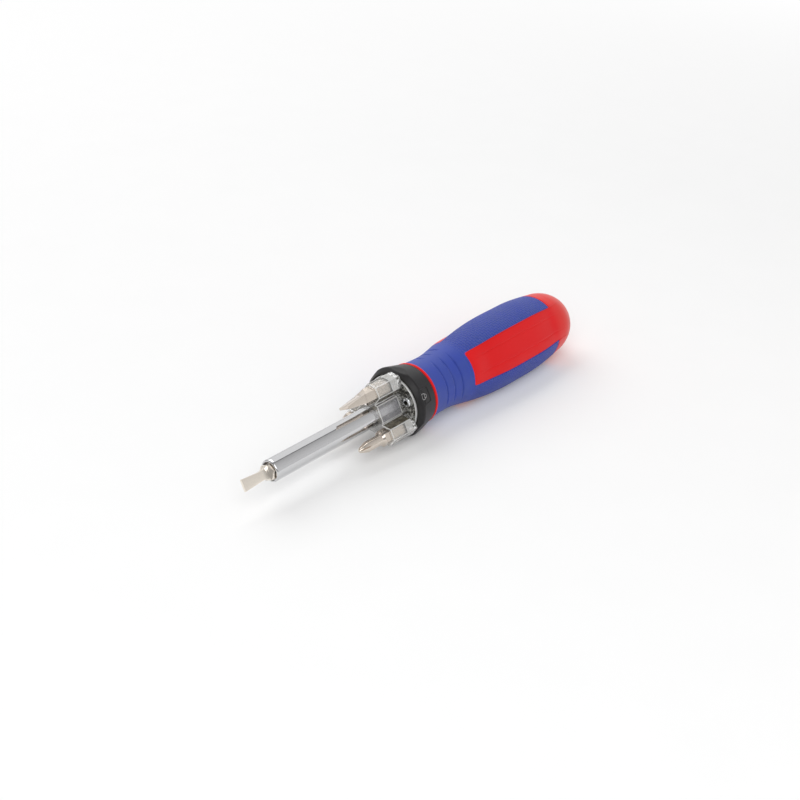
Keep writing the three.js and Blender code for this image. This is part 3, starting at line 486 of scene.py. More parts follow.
def red_polypropylene():
    # Injection-moulded polypropylene from a satin spark-eroded mould: even, bright, and pale where it is
    # seen edge-on.
    finish, tree, shader, spot = new_finish("moulded_red_polypropylene")
    cloud = add(tree, "ShaderNodeTexNoise", {"Scale": per_mm(14.0), "Detail": 2.0},
                {"Vector": spot.outputs["Object"]})
    tint = add(tree, "ShaderNodeValToRGB", {}, {"Fac": cloud.outputs["Fac"]})
    tint.color_ramp.elements[0].color = linear("#E01316")
    tint.color_ramp.elements[1].color = linear("#E8181C")
    # The butt is painted paler towards its end: a painted sheen where it turns away edge-on.
    place = add(tree, "ShaderNodeSeparateXYZ", {}, {"Vector": spot.outputs["UV"]})
    painted_sheen = add(tree, "ShaderNodeMapRange",
                 {"From Min": PAINTED_SHEEN_START * MM, "From Max": PAINTED_SHEEN_END * MM, "To Max": 0.75},
                 {"Value": place.outputs["Y"]})
    colour = add(tree, "ShaderNodeMix", {"data_type": "RGBA", "B": linear("#E2655D")},
                 {"Factor": painted_sheen.outputs["Result"], "A": tint.outputs["Color"]})
    # The mould's grit is about 0.05 mm and is drawn at 0.5 mm so that it shows.
    grit = add(tree, "ShaderNodeTexNoise", {"Scale": per_mm(0.5), "Detail": 3.0},
               {"Vector": spot.outputs["Object"]})
    gloss = add(tree, "ShaderNodeMapRange", {"To Min": 0.36, "To Max": 0.50},
                {"Value": grit.outputs["Fac"]})
    bump = add(tree, "ShaderNodeBump", {"Strength": 0.06, "Distance": 0.05 * MM},
               {"Height": grit.outputs["Fac"]})
    feed(tree, shader,
         {"IOR": 1.49, "Specular IOR Level": 0.18, "Sheen Weight": 0.22, "Sheen Roughness": 0.35},
         {"Base Color": colour.outputs["Result"], "Roughness": gloss.outputs["Result"],
          "Normal": bump.outputs["Normal"]})
    return finish


def blue_rubber():
    # Thermoplastic rubber moulded over the core: matt, a little dusty at grazing angles, with fine ribs.
    finish, tree, shader, spot = new_finish("overmoulded_blue_rubber")
    # Short ribs lie around the tool in staggered rows, behind its smooth neck.
    rows = add(tree, "ShaderNodeTexBrick",
               {"Scale": per_mm(RIB_PITCH), "Brick Width": RIB_LENGTH / RIB_PITCH, "Row Height": 1.0,
                "Mortar Size": 0.22, "Mortar Smooth": 1.0,
                "Color1": (1, 1, 1, 1), "Color2": (1, 1, 1, 1), "Mortar": (0, 0, 0, 1)},
               {"Vector": spot.outputs["UV"]})
    place = add(tree, "ShaderNodeSeparateXYZ", {}, {"Vector": spot.outputs["UV"]})
    behind = add(tree, "ShaderNodeMapRange", {"From Min": RIB_START * MM, "From Max": RIB_FULL * MM},
                 {"Value": place.outputs["Y"]})
    gaps = add(tree, "ShaderNodeMath", {"operation": "MULTIPLY"},
               {0: rows.outputs["Fac"], 1: behind.outputs["Result"]})
    # Light doesn't reach the floor of the gaps between the ribs, so they look a little darker.
    cloud = add(tree, "ShaderNodeTexNoise", {"Scale": per_mm(9.0), "Detail": 3.0},
                {"Vector": spot.outputs["Object"]})
    shade = add(tree, "ShaderNodeMath", {"operation": "MULTIPLY_ADD", 1: -0.75},
                {0: gaps.outputs["Value"], 2: cloud.outputs["Fac"]})
    tint = add(tree, "ShaderNodeValToRGB", {}, {"Fac": shade.outputs["Value"]})
    tint.color_ramp.elements[0].color = linear("#1F3BAC")
    tint.color_ramp.elements[1].color = linear("#374C98")
    # The mould's grit is about 0.08 mm and is drawn at 0.45 mm so that it shows.
    grit = add(tree, "ShaderNodeTexNoise", {"Scale": per_mm(0.45), "Detail": 2.0},
               {"Vector": spot.outputs["Object"]})
    fine = add(tree, "ShaderNodeBump", {"Strength": 0.10, "Distance": 0.08 * MM},
               {"Height": grit.outputs["Fac"]})
    bump = add(tree, "ShaderNodeBump", {"Strength": 1.0, "Distance": RIB_HEIGHT * MM, "invert": True},
               {"Height": gaps.outputs["Value"], "Normal": fine.outputs["Normal"]})
    gloss = add(tree, "ShaderNodeMapRange", {"To Min": 0.52, "To Max": 0.66},
                {"Value": grit.outputs["Fac"]})
    feed(tree, shader, {"IOR": 1.5, "Sheen Weight": 0.08, "Sheen Roughness": 0.5},
         {"Base Color": tint.outputs["Color"], "Roughness": gloss.outputs["Result"],
          "Normal": bump.outputs["Normal"]})
    return finish


def black_nylon(name, dark, light, shine):
    # Glass-filled nylon, moulded: near-black, half-matt, with faint flow marks and a soft grey sheen. Its
    # front slope gets a warmer copy with a little less shine, painted shade that makes it look deeper
    # black.
    finish, tree, shader, spot = new_finish(name)
    flow = add(tree, "ShaderNodeTexNoise", {"Scale": per_mm(5.0), "Detail": 4.0, "Distortion": 0.6},
               {"Vector": spot.outputs["Object"]})
    tint = add(tree, "ShaderNodeValToRGB", {}, {"Fac": flow.outputs["Fac"]})
    tint.color_ramp.elements[0].color = linear(dark)
    tint.color_ramp.elements[1].color = linear(light)
    # The mould's grit is about 0.06 mm and is drawn at 0.4 mm so that it shows.
    grit = add(tree, "ShaderNodeTexNoise", {"Scale": per_mm(0.4), "Detail": 2.0},
               {"Vector": spot.outputs["Object"]})
    gloss = add(tree, "ShaderNodeMapRange", {"To Min": 0.34, "To Max": 0.50},
                {"Value": grit.outputs["Fac"]})
    bump = add(tree, "ShaderNodeBump", {"Strength": 0.08, "Distance": 0.06 * MM},
               {"Height": grit.outputs["Fac"]})
    feed(tree, shader, {"IOR": 1.53, "Specular IOR Level": shine},
         {"Base Color": tint.outputs["Color"], "Roughness": gloss.outputs["Result"],
          "Normal": bump.outputs["Normal"]})
    return finish


def clear_polycarbonate(name, dark, light, through, rough, cover,
                        wave=3.0, spread=0.5, middle=0.5, mirror=0.0):
    # Clear moulded polycarbonate: glassy, a little smoky and warm, with slight flow waves. Its copies carry
    # painted light: white painted highlights on its edges, painted glints on its rear ends, painted shade
    # and reflection elsewhere.
    finish, tree, shader, spot = new_finish(name)
    flow = add(tree, "ShaderNodeTexNoise", {"Scale": per_mm(wave), "Detail": 1.0},
               {"Vector": spot.outputs["Object"]})
    tint = add(tree, "ShaderNodeValToRGB", {}, {"Fac": flow.outputs["Fac"]})
    stops = ((middle - spread, dark), (middle + spread, light))
    for stop, (position, colour) in zip(tint.color_ramp.elements, stops):
        stop.position = position
        stop.color = linear(colour)
    bump = add(tree, "ShaderNodeBump", {"Strength": 0.10, "Distance": 0.03 * MM},
               {"Height": flow.outputs["Fac"]})
    gloss = add(tree, "ShaderNodeMapRange", {"To Min": rough, "To Max": 2 * rough},
                {"Value": flow.outputs["Fac"]})
    # Painted glints: mirror-like patches set at random stand for light wholly reflected inside the
    # moulding.
    if mirror:
        sparkle = add(tree, "ShaderNodeMapRange",
                      {"From Min": middle, "From Max": middle + spread, "To Max": mirror},
                      {"Value": flow.outputs["Fac"]})
        feed(tree, shader, {}, {"Metallic": sparkle.outputs["Result"]})
        feed(tree, bump, {"Strength": 0.6, "Distance": 0.3 * MM})
    # Polycarbonate is 1.585, but the moulding is thin-walled and bends light far less than a solid lump.
    feed(tree, shader,
         {"IOR": 1.25, "Transmission Weight": through, "Alpha": cover,
          "Coat Weight": 1.0, "Coat IOR": 1.585, "Coat Roughness": 0.03},
         {"Base Color": tint.outputs["Color"], "Roughness": gloss.outputs["Result"],
          "Normal": bump.outputs["Normal"]})
    return finish


def plated_metal(name, dark, light, grain, rough, lines):
    # Plated or ground steel: mirror-like, with fine tool lines around or along it that spread highlights.
    finish, tree, shader, spot = new_finish(name)
    stretch = add(tree, "ShaderNodeMapping", {"Scale": lines}, {"Vector": spot.outputs["Object"]})
    grind = add(tree, "ShaderNodeTexNoise", {"Scale": per_mm(grain), "Detail": 4.0},
                {"Vector": stretch.outputs["Vector"]})
    tint = add(tree, "ShaderNodeValToRGB", {}, {"Fac": grind.outputs["Fac"]})
    tint.color_ramp.elements[0].color = linear(dark)
    tint.color_ramp.elements[1].color = linear(light)
    gloss = add(tree, "ShaderNodeMapRange", {"To Min": rough[0], "To Max": rough[1]},
                {"Value": grind.outputs["Fac"]})
    bump = add(tree, "ShaderNodeBump", {"Strength": 0.08, "Distance": 0.02 * MM},
               {"Height": grind.outputs["Fac"]})
    feed(tree, shader, {"Metallic": 1.0},
         {"Base Color": tint.outputs["Color"], "Roughness": gloss.outputs["Result"],
          "Normal": bump.outputs["Normal"]})
    return finish


def printed_ink():
    # Pad-printing ink: thin, flat white, a little grey where the nylon shows through.
    finish, tree, shader, spot = new_finish("pad_printed_white_ink")
    wear = add(tree, "ShaderNodeTexNoise", {"Scale": per_mm(0.5), "Detail": 3.0},
               {"Vector": spot.outputs["Object"]})
    tint = add(tree, "ShaderNodeValToRGB", {}, {"Fac": wear.outputs["Fac"]})
    tint.color_ramp.elements[0].color = linear("#8E8C8D")
    tint.color_ramp.elements[1].color = linear("#C9C7C8")
    feed(tree, shader, {"Roughness": 0.5}, {"Base Color": tint.outputs["Color"]})
    return finish


RED = red_polypropylene()
BLUE = blue_rubber()
BLACK = black_nylon("moulded_black_nylon", "#19181A", "#211F21", 0.3)
BLACK_SLOPE_SHADE = black_nylon("black_nylon_slope_painted_shade", "#191817", "#21201E", 0.28)
INK = printed_ink()
# The lines left by grinding are about 0.03 mm apart and are drawn at 0.25 mm so that they show.
CHROME = plated_metal("bright_chrome_plate", "#C8C8CA", "#D4D4D5", 0.25, (0.05, 0.11), (0.1, 1.0, 1.0))
NICKEL = plated_metal("nickel_plated_bit_steel", "#CFC4B9", "#DFD5CA", 0.25, (0.10, 0.20), (0.3, 1.0, 1.0))
# A brighter copy of the bit steel for the driving blade: painted light.
BRIGHTER_NICKEL = plated_metal("bit_steel_painted_brighter", "#E6DDD1", "#F4ECE1", 0.25, (0.10, 0.20), (0.3, 1.0, 1.0))
STEEL = plated_metal("bright_zinc_plated_steel", "#D2D4D7", "#E6E8EA", 0.30, (0.20, 0.32), (1.0, 0.3, 1.0))
BLACKENED_STEEL_AND_SHADE = plated_metal("blackened_steel_plate_and_recess_shade", "#1C1B16", "#2B2A22", 0.40, (0.30, 0.45), (1.0, 1.0, 1.0))
CASTING = plated_metal("plain_zinc_die_casting", "#8E9094", "#A4A6AA", 0.60, (0.42, 0.58), (1.0, 1.0, 1.0))

# The magazine's finishes, in the order of the numbers that say which one a face shows.
PLAIN_FACE, EDGE_HIGHLIGHT_FACE, HUB_SEEN_THROUGH_FACE, SIDE_REFLECTION_FACE, REAR_GLINT_FACE, DISC_SHADE_FACE, SOLID_HIGHLIGHT_FACE = range(7)
MAGAZINE_FINISHES = (
    clear_polycarbonate("moulded_clear_polycarbonate", "#EDEBE6", "#FAF9F6", 0.70, 0.015, 0.50),
    # White painted highlight on edges.
    clear_polycarbonate("clear_polycarbonate_painted_edge_highlight", "#F8F8F6", "#FFFFFF", 0.20, 0.06, 0.72),
    # Painted lighter lavender-grey, a painted image of the chrome shaft seen through the hub.
    clear_polycarbonate("clear_polycarbonate_hub_painted_see_through", "#D8D8E0", "#ECECF2", 0.40, 0.015, 0.42),
    # Painted dark olive: a painted reflection of the dark collar seen through the lobe's side.
    clear_polycarbonate("clear_polycarbonate_side_painted_reflection", "#453F32", "#8F8874", 0.30, 0.05, 0.70,
                        wave=2.0, spread=0.2),
    # Bright and dark painted glints on the rear ends.
    clear_polycarbonate("clear_polycarbonate_painted_glints", "#4E4C43", "#FFFFFF", 0.08, 0.04, 0.88,
                        wave=1.0, spread=0.07, middle=0.47, mirror=1.0),
    # Mostly dark with light flecks: painted shade and painted glints on the disc's front.
    clear_polycarbonate("clear_polycarbonate_disc_painted_shade", "#2B2A22", "#D8D7CF", 0.25, 0.04, 0.80,
                        wave=1.3, spread=0.14, middle=0.60),
    # Whiter, with mirror flecks: a painted highlight on the lobes' solid ends.
    clear_polycarbonate("clear_polycarbonate_solid_end_painted_highlight", "#DEDCD6", "#FFFFFF", 0.12, 0.02, 0.66,
                        wave=1.6, spread=0.2, mirror=0.7),
)


# Handle: red core and blue grip

def sunk_radius(station, degrees):
    """Radius of the red core's skin: each panel is sunk, falls to two creases and is flat between them."""
    round_radius = handle_radius(station)
    step = abs(from_panel(degrees))
    if step > PANEL_HALF + PANEL_UNDER:
        return round_radius
    crease = max(step, PAD_HALF)
    low = round_radius - PANEL_SINK - CREASE_DROP * (PANEL_HALF - crease) / (PANEL_HALF - PAD_HALF)
    low *= math.cos(math.radians(crease)) / math.cos(math.radians(step))
    low -= CREASE_LINE * (1 - eased(abs(step - PAD_HALF), 0.0, CREASE_HALF))
    share = eased(station, PANEL_FRONT, PANEL_FRONT + PAD_FADE) * (1 - eased(station, PAD_REAR, PAD_END))
    return round_radius + (low - round_radius) * share


def panel_depth(station, degrees):
    """How far a spot lies inside a panel's window, whose front corners are rounded, in millimetres."""
    along = station - PANEL_FRONT
    across = math.radians(PANEL_HALF - abs(from_panel(degrees))) * handle_radius(station)
    if -PANEL_NEAR < along < PANEL_CORNER and -PANEL_NEAR < across < PANEL_CORNER:
        return PANEL_CORNER - math.hypot(PANEL_CORNER - along, PANEL_CORNER - across)
    return min(along, across)


def rounded_off(depth):
    """How far a moulded edge has dropped: it is rounded up to depth 0, and a steep wall after it."""
    if depth <= -GRIP_EDGE:
        return 0.0
    if depth < 0:
        return GRIP_EDGE - math.sqrt(GRIP_EDGE ** 2 - (GRIP_EDGE + depth) ** 2)
    return min(GRIP_EDGE + depth * GRIP_WALL_SLOPE, GRIP_DEPTH)


def groove_depth(station, degrees):
    """Depth of the neck's arc grooves, which bend back towards their ends."""
    step = from_panel(degrees)
    depth = 0.0
    for start in GROOVE_STATIONS:
        away = abs(station - start - GROOVE_SWEEP * (step / GROOVE_HALF) ** 4)
        if away < GROOVE_WIDTH:
            fade = 1 - eased(abs(step), GROOVE_HALF - GROOVE_FADE, GROOVE_HALF)
            depth = max(depth, fade * GROOVE_DEPTH * (0.5 + 0.5 * math.cos(math.pi * away / GROOVE_WIDTH)))
    return depth


def sector_angles(steps):
    """Angles around the tool that repeat a panel's steps in its three sectors, in rising order."""
    half = sorted(set(steps))
    whole = [-s for s in half[::-1] if s > 0] + half
    return sorted({round((centre + step) % 360, 4) for centre in PANEL_ANGLES for step in whole})


def make_grip():
    edge = [PANEL_HALF + d for d in (-2.0, -0.8, -0.3, 0.0, 0.25, 0.6, 1.0, 1.5, 2.2)]
    angles = sector_angles([0, 8, 15, 22, 27] + edge + [35 + 1.0 * i for i in range(26)])
    front = [GRIP_FRONT + d for d in (0.0, 0.04, 0.12, 0.25)]
    neck = spaced(GRIP_FRONT + 0.4, PANEL_FRONT - 0.6, 96)
    window = [PANEL_FRONT + d for d in (-0.4, -0.25, -0.1, 0.0, 0.1, 0.3, 0.6, 1.0, 1.5, 2.2)]
    strips = spaced(PANEL_FRONT + 3.0, GRIP_REAR - 0.6, 76)
    rear = [GRIP_REAR - d for d in (0.4, 0.25, 0.12, 0.04, 0.0)]
    rings = []
    for station in front + neck + window + strips + rear:
        radius = handle_radius(station)
        ends = max(GRIP_FRONT - station, station - GRIP_REAR)
        drop = rounded_off(min(ends, -0.001))
        ring = []
        for degrees in angles:
            low = max(drop, rounded_off(panel_depth(station, degrees)))
            ring.append((station, radius - low - groove_depth(station, degrees), degrees))
        rings.append(ring)
    inner = [[(ring[0][0], handle_radius(ring[0][0]) - GRIP_DEPTH, d) for _, _, d in ring]
             for ring in (rings[0], rings[-1])]
    grip = ringed("blue_grip", [inner[0]] + rings + [inner[1]], BLUE, 50.0)
    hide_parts("grip_sleeve")
    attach(grip, "handle")


def make_core():
    edge = [PANEL_HALF + d for d in (-1.2, -0.4, 0.0, 0.5, 0.7)]
    angles = sector_angles([0, 3, 6, 9, 12, 13.5, 14.5, 15, 15.5, 16.5, 18, 21, 24, 27] + edge
                           + [34 + 2.0 * i for i in range(14)])
    on_panel = [abs(from_panel(d)) < PANEL_HALF + PANEL_UNDER for d in angles]
    rings = [[(station, radius, d) for d in angles] for station, radius in LIP_PROFILE]
    # Under the grip the core is hidden and only closes the skin.
    under = spaced(2.0, PANEL_FRONT - 1.2, 10)
    panel = [PANEL_FRONT - 0.5, PANEL_FRONT - 0.3] + spaced(PANEL_FRONT, BUTT_SEAM - 0.4, 70)
    for station in under + panel:
        hidden = handle_radius(station) - GRIP_DEPTH + 0.1
        ring = []
        for d, inside in zip(angles, on_panel):
            shown = inside and station > PANEL_FRONT - 0.4
            ring.append((station, sunk_radius(station, d) if shown else hidden, d))
        rings.append(ring)
    seam = [(BUTT_SEAM - 0.02, 1.2), (BUTT_SEAM, 0.3), (BUTT_SEAM + 0.08, 0.12), (BUTT_SEAM + 0.25, 0.0)]
    for station, drop in seam:
        rings.append([(station, sunk_radius(station, d) - (0 if inside else drop), d)
                      for d, inside in zip(angles, on_panel)])
    for station in spaced(BUTT_SEAM + 0.7, BUTT_DOME, 5):
        rings.append([(station, sunk_radius(station, d), d) for d in angles])
    for share in spaced(0.03, 1.0, 34):
        station, radius = on_curve(DOME_CURVE, share)
        sunk = [sunk_radius(station, d) - handle_radius(station) for d in angles]
        rings.append([(station, radius + drop, d) for drop, d in zip(sunk, angles)])
    for radius in (2.4, 1.2, 0.3):
        rings.append([(BUTT_END, radius, d) for d in angles])
    core = ringed("red_core", rings, RED, 60.0, close_rear=True)
    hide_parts("handle_core")
    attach(core, "handle")


# Selector collar

def cone_radius(station):
    """Radius of the collar's long cone, before its flats are cut."""
    return RIDGE_RADIUS + (station - RIDGE_REAR) * CONE_SLOPE


def collar_radius(station, radius, degrees):
    """Radius of the collar's skin, with its six rolling stops cut flat and the symbol's patch sunk."""
    flat = (degrees - 30) % 60
    step = min(flat, 60 - flat)
    radius = min(radius, AXIS_HEIGHT / math.cos(math.radians(step)))
    across = math.radians(SYMBOL_HALF - abs((degrees - SYMBOL_ANGLE + 180) % 360 - 180)) * radius
    along = min(station - RIDGE_REAR, SYMBOL_REAR - station)
    return radius - SYMBOL_DEPTH * eased(min(across, along), 0.0, 0.3)


def make_collar():
    patch = [SYMBOL_ANGLE + sign * (SYMBOL_HALF + d) for sign in (-1, 1) for d in (-1.2, -0.6, 0.0)]
    angles = sorted({round(a % 360, 3) for a in [2.0 * i for i in range(180)] + patch})
    # From the disc's pocket round the front edge, up the slope, over the ridge, down the cone to the bore.
    profile = [(DISC_REAR + 0.1, DISC_POCKET), (COLLAR_FRONT + 0.12, DISC_POCKET),
               (COLLAR_FRONT + 0.02, DISC_POCKET + 0.08), (COLLAR_FRONT, DISC_POCKET + 0.2),
               (COLLAR_FRONT, COLLAR_FRONT_RADIUS - 0.15),
               (COLLAR_FRONT + 0.05, COLLAR_FRONT_RADIUS - 0.02),
               (COLLAR_FRONT + 0.18, COLLAR_FRONT_RADIUS + 0.14)]
    rise, run = RIDGE_RADIUS - COLLAR_FRONT_RADIUS, RIDGE_FRONT - COLLAR_FRONT
    profile += [(s, COLLAR_FRONT_RADIUS + (s - COLLAR_FRONT) * rise / run)
                for s in spaced(COLLAR_FRONT + 0.3, RIDGE_FRONT - 0.2, 6)]
    profile += [(RIDGE_FRONT - 0.08, RIDGE_RADIUS - 0.09), (RIDGE_FRONT + 0.08, RIDGE_RADIUS - 0.01),
                (RIDGE_REAR - 0.1, RIDGE_RADIUS), (RIDGE_REAR, RIDGE_RADIUS - 0.01)]
    profile += [(s, cone_radius(s)) for s in spaced(RIDGE_REAR + 0.15, COLLAR_REAR - 0.25, 40)]
    profile += [(COLLAR_REAR - 0.1, COLLAR_REAR_RADIUS - 0.02), (COLLAR_REAR, COLLAR_REAR_RADIUS - 0.14),
                (COLLAR_REAR, COLLAR_BORE), (COLLAR_REAR - BORE_SHOWN, COLLAR_BORE)]
    rings = [[(s, collar_radius(s, r, d) if r > DISC_POCKET + 0.25 else r, d) for d in angles]
             for s, r in profile]
    collar = ringed("selector_ring", rings, BLACK, 32.0)
    # The front slope takes the duller copy: painted shade.
    collar.data.materials.append(BLACK_SLOPE_SHADE)
    for face in collar.data.polygons:
        if station_of(face) < SLOPE_MIDDLE:
            face.material_index = 1
    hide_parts("selector_collar")
    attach(collar, "selector")


def ink_line(name, path, closed):
    """A printed line on the symbol's patch. Its path is (along, across) from the symbol's middle."""
    points, faces = [], []
    count = len(path)
    for i in range(count):
        before = path[i - 1] if closed or i else path[i]
        after = path[(i + 1) % count] if closed or i < count - 1 else path[i]
        way = Vector((after[0] - before[0], after[1] - before[1])).normalized()
        for side in (-1, 1):
            along = SYMBOL_MIDDLE + path[i][0] - side * way.y * INK_WIDTH / 2
            across = path[i][1] + side * way.x * INK_WIDTH / 2
            surface = cone_radius(along)
            degrees = SYMBOL_ANGLE + math.degrees(across / surface)
            top = collar_radius(along, surface, degrees)
            points += [at(along, top + INK_HALF, degrees), at(along, top - INK_HALF, degrees)]
    for i in range(count if closed else count - 1):
        a, b = 4 * i, 4 * ((i + 1) % count)
        faces += [[a, a + 2, b + 2, b], [a + 2, a + 3, b + 3, b + 2], [a + 1, a, b, b + 1]]
    line = made(name, points, faces, INK, 30.0)
    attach(line, "selector")


def make_symbol():
    # A closed padlock, which stands for the locked setting: its body to the bit, its bow to the handle.
    body = []
    for along, across in ((LOCK_FRONT, -LOCK_HALF), (LOCK_FRONT, LOCK_HALF),
                          (LOCK_REAR, LOCK_HALF), (LOCK_REAR, -LOCK_HALF)):
        centre = (along - math.copysign(LOCK_CORNER, along), across - math.copysign(LOCK_CORNER, across))
        outward = math.atan2(across - centre[1], along - centre[0])
        for step in (45, 0, -45):
            turn = outward + math.radians(step)
            body.append((centre[0] + LOCK_CORNER * math.cos(turn),
                         centre[1] + LOCK_CORNER * math.sin(turn)))
    ink_line("padlock_body", body, True)
    bow = [(LOCK_REAR, -BOW_RADIUS)]
    for step in range(0, 181, 15):
        turn = math.radians(step)
        bow.append((BOW_START + BOW_RADIUS * math.sin(turn), -BOW_RADIUS * math.cos(turn)))
    bow.append((LOCK_REAR, BOW_RADIUS))
    ink_line("padlock_bow", bow, False)


# Clear magazine with its screws

def magazine_outline():
    """The front face's outline: a hexagonal hub with three hexagonal lobes on it, as (y, z) points."""
    half = HUB_HEX / 2
    side = half * math.tan(math.pi / 6)
    lobe = LOBE_HEX / 2
    point = lobe / math.cos(math.pi / 6)
    spots = [(half, -side), (half, -point / 2), (POCKET_RING, -point), (POCKET_RING + lobe, -point / 2),
             (POCKET_RING + lobe, point / 2), (POCKET_RING, point), (half, point / 2), (half, side)]
    outline = []
    for way in sorted(POCKET_ANGLES):
        turn = math.radians(way)
        out = Vector((-math.cos(turn), math.sin(turn)))
        beside = Vector((math.sin(turn), math.cos(turn)))
        for reach, shift in spots:
            spot = out * reach + beside * shift
            outline.append((spot.x, spot.y))
    return outline


def edged(outline, width):
    """An outline with each corner cut by a short edge, and the same outline moved in by that width."""
    cut = []
    for i, corner in enumerate(outline):
        corner = Vector(corner)
        for other in (outline[i - 1], outline[(i + 1) % len(outline)]):
            cut.append(corner + (Vector(other) - corner).normalized() * width)
    inner = []
    for i, spot in enumerate(cut):
        before = (spot - cut[i - 1]).normalized()
        after = (cut[(i + 1) % len(cut)] - spot).normalized()
        normals = [Vector((-way.y, way.x)) for way in (before, after)]
        inner.append(spot + (normals[0] + normals[1]) / (1 + normals[0].dot(normals[1])) * width)
    return cut, inner


def magazine_body():
    """Hub and lobes as one block whose outer edges are chamfered faces of their own."""
    outline = magazine_outline()
    turn = sum(a[0] * b[1] - b[0] * a[1] for a, b in zip(outline, outline[1:] + outline[:1]))
    full, inner = edged(outline if turn > 0 else outline[::-1], EDGE_LINE)
    count = len(full)
    places = (MAGAZINE_FRONT + EDGE_LINE, POCKET_FLOOR - CUT_APART, WINDOW_REAR - WINDOW_HIGHLIGHT_BAND, WINDOW_REAR,
              LOBE_REAR)
    rows = [(MAGAZINE_FRONT, inner)] + [(place, full) for place in places]
    last = len(rows) - 1
    points = [(x, y, z) for x, row in rows for y, z in row]
    faces = [list(range(count))]
    # Faces marked here show the white painted edge highlight.
    edges = [False]
    for row in range(last):
        for i in range(count):
            k = (i + 1) % count
            faces.append([row * count + i, row * count + k, (row + 1) * count + k, (row + 1) * count + i])
            edges.append(row == 0 or (i % 2 == 0 and row < last - 1))
    faces.append(list(range(last * count, len(rows) * count)))
    body = block((points, faces))
    for face, edge in zip(body.data.polygons, edges + [False]):
        face.material_index = EDGE_HIGHLIGHT_FACE if edge else PLAIN_FACE
    return body


def magazine_finish(face):
    """Which of the magazine's finishes a face shows, by its place and by the way it faces."""
    station = station_of(face)
    spot = Vector((face.center.y / MM, face.center.z / MM - AXIS_HEIGHT))
    normal = Vector((face.normal.y, face.normal.z))
    lobes = [at(0, POCKET_RING, way).yz / MM - Vector((0, AXIS_HEIGHT)) for way in POCKET_ANGLES]
    lobe = min(lobes, key=lambda centre: (spot - centre).length)
    # Beside the plain clear finish, each choice here is painted light: edge highlights, glints, shade,
    # reflection or a lighter see-through tint.
    if station > DISC_FRONT + 0.05:
        return EDGE_HIGHLIGHT_FACE if spot.length > DISC_RADIUS - DISC_CHAMFER else PLAIN_FACE
    if station > DISC_FRONT - 0.05 and face.normal.x < -0.9:
        return DISC_SHADE_FACE
    if face.material_index == EDGE_HIGHLIGHT_FACE or abs(face.normal.x) > 0.3:
        return face.material_index
    outer = (spot - lobe).dot(normal) > POCKET_HEX / 2 + 0.2
    facet = spot.dot(normal) > HUB_HEX / 2 - 0.1
    if (outer or facet) and station > WINDOW_REAR:
        return REAR_GLINT_FACE
    if facet and not outer and spot.length < HUB_HEX / 2 + 1.0:
        return EDGE_HIGHLIGHT_FACE if station > WINDOW_REAR - WINDOW_HIGHLIGHT_BAND else HUB_SEEN_THROUGH_FACE
    if outer and spot.dot(normal) < 0.3 * spot.length:
        return SIDE_REFLECTION_FACE
    return SOLID_HIGHLIGHT_FACE if outer and station > POCKET_FLOOR else PLAIN_FACE


def make_magazine():
    body = magazine_body()
    for finish in MAGAZINE_FINISHES:
        body.data.materials.append(finish)
    disc = lathed([(DISC_FRONT, 0), (DISC_FRONT, DISC_RADIUS - DISC_CHAMFER),
                   (DISC_FRONT + DISC_CHAMFER, DISC_RADIUS), (DISC_REAR, DISC_RADIUS), (DISC_REAR, 0)], 96)
    steps = [("UNION", block(disc))]
    for way in POCKET_ANGLES:
        pocket = prism(hexagon(POCKET_HEX, way, POCKET_RING, way), "X", MAGAZINE_FRONT - 1, POCKET_FLOOR)
        steps.append(("DIFFERENCE", block(pocket)))
    bore = rod(MAGAZINE_FRONT - 1, DISC_REAR + 1, SHAFT_RADIUS + BORE_CLEARANCE, 72)
    steps.append(("DIFFERENCE", block(bore)))
    hole = rod(DISC_FRONT - 0.9, DISC_REAR + 1, SCREW_SHANK + BORE_CLEARANCE, 24)
    for way in SCREW_ANGLES:
        turn = math.radians(way)
        spot = Vector((0, -SCREW_RING * math.cos(turn), SCREW_RING * math.sin(turn)))
        steps.append(("DIFFERENCE", block(hole, Matrix.Translation(spot))))
    magazine = finished(worked(body, steps), "clear_magazine", MAGAZINE_FINISHES[0], 0, tool_place(0, 0, 0),
                        20.0, MAGAZINE_FINISHES[1:])
    for face in magazine.data.polygons:
        face.material_index = magazine_finish(face)
    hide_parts("bit_magazine")
    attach(magazine, "handle")


def make_screws():
    front = SCREW_SEAT - SCREW_HEIGHT
    turns = [math.radians(degrees) for degrees in (18, 34, 50, 66, 80, 90)]
    crown = [(front + SCREW_CROWN - SCREW_CROWN * math.cos(t), SCREW_HEAD * math.sin(t) ** 0.8)
             for t in turns]
    profile = [(front, 0)] + crown + [(SCREW_SEAT, SCREW_HEAD), (SCREW_SEAT, SCREW_SHANK),
                                      (SCREW_END - SCREW_POINT, SCREW_SHANK), (SCREW_END, 0)]
    for i, way in enumerate(SCREW_ANGLES):
        recess = lathed([(front + along, radius) for along, radius in RECESS_PROFILE], 24)
        cuts = [("DIFFERENCE", block(recess))]
        for wide, tall in ((CROSS_WIDTH / 2, CROSS_LENGTH / 2), (CROSS_LENGTH / 2, CROSS_WIDTH / 2)):
            arm = [(-wide, -tall), (wide, -tall), (wide, tall), (-wide, tall)]
            cuts.append(("DIFFERENCE", block(prism(arm, "X", front - 1, front + CROSS_DEPTH))))
        screw = finished(worked(block(lathed(profile, 40)), cuts), f"pan_head_screw_{i + 1}", STEEL, 0.04,
                         tool_place(0, SCREW_RING, way), others=(BLACKENED_STEEL_AND_SHADE,))
        # Faces inside the recess take the blackened finish: painted shade in the recess.
        middle = at(0, SCREW_RING, way).yz
        for face in screw.data.polygons:
            inside = (face.center.yz - middle).length < RECESS_RADIUS * MM
            face.material_index = 1 if inside and station_of(face) < front + RECESS_DEPTH else 0
        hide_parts(f"magazine_screw_{i + 1}")
        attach(screw, "handle")


# Shaft

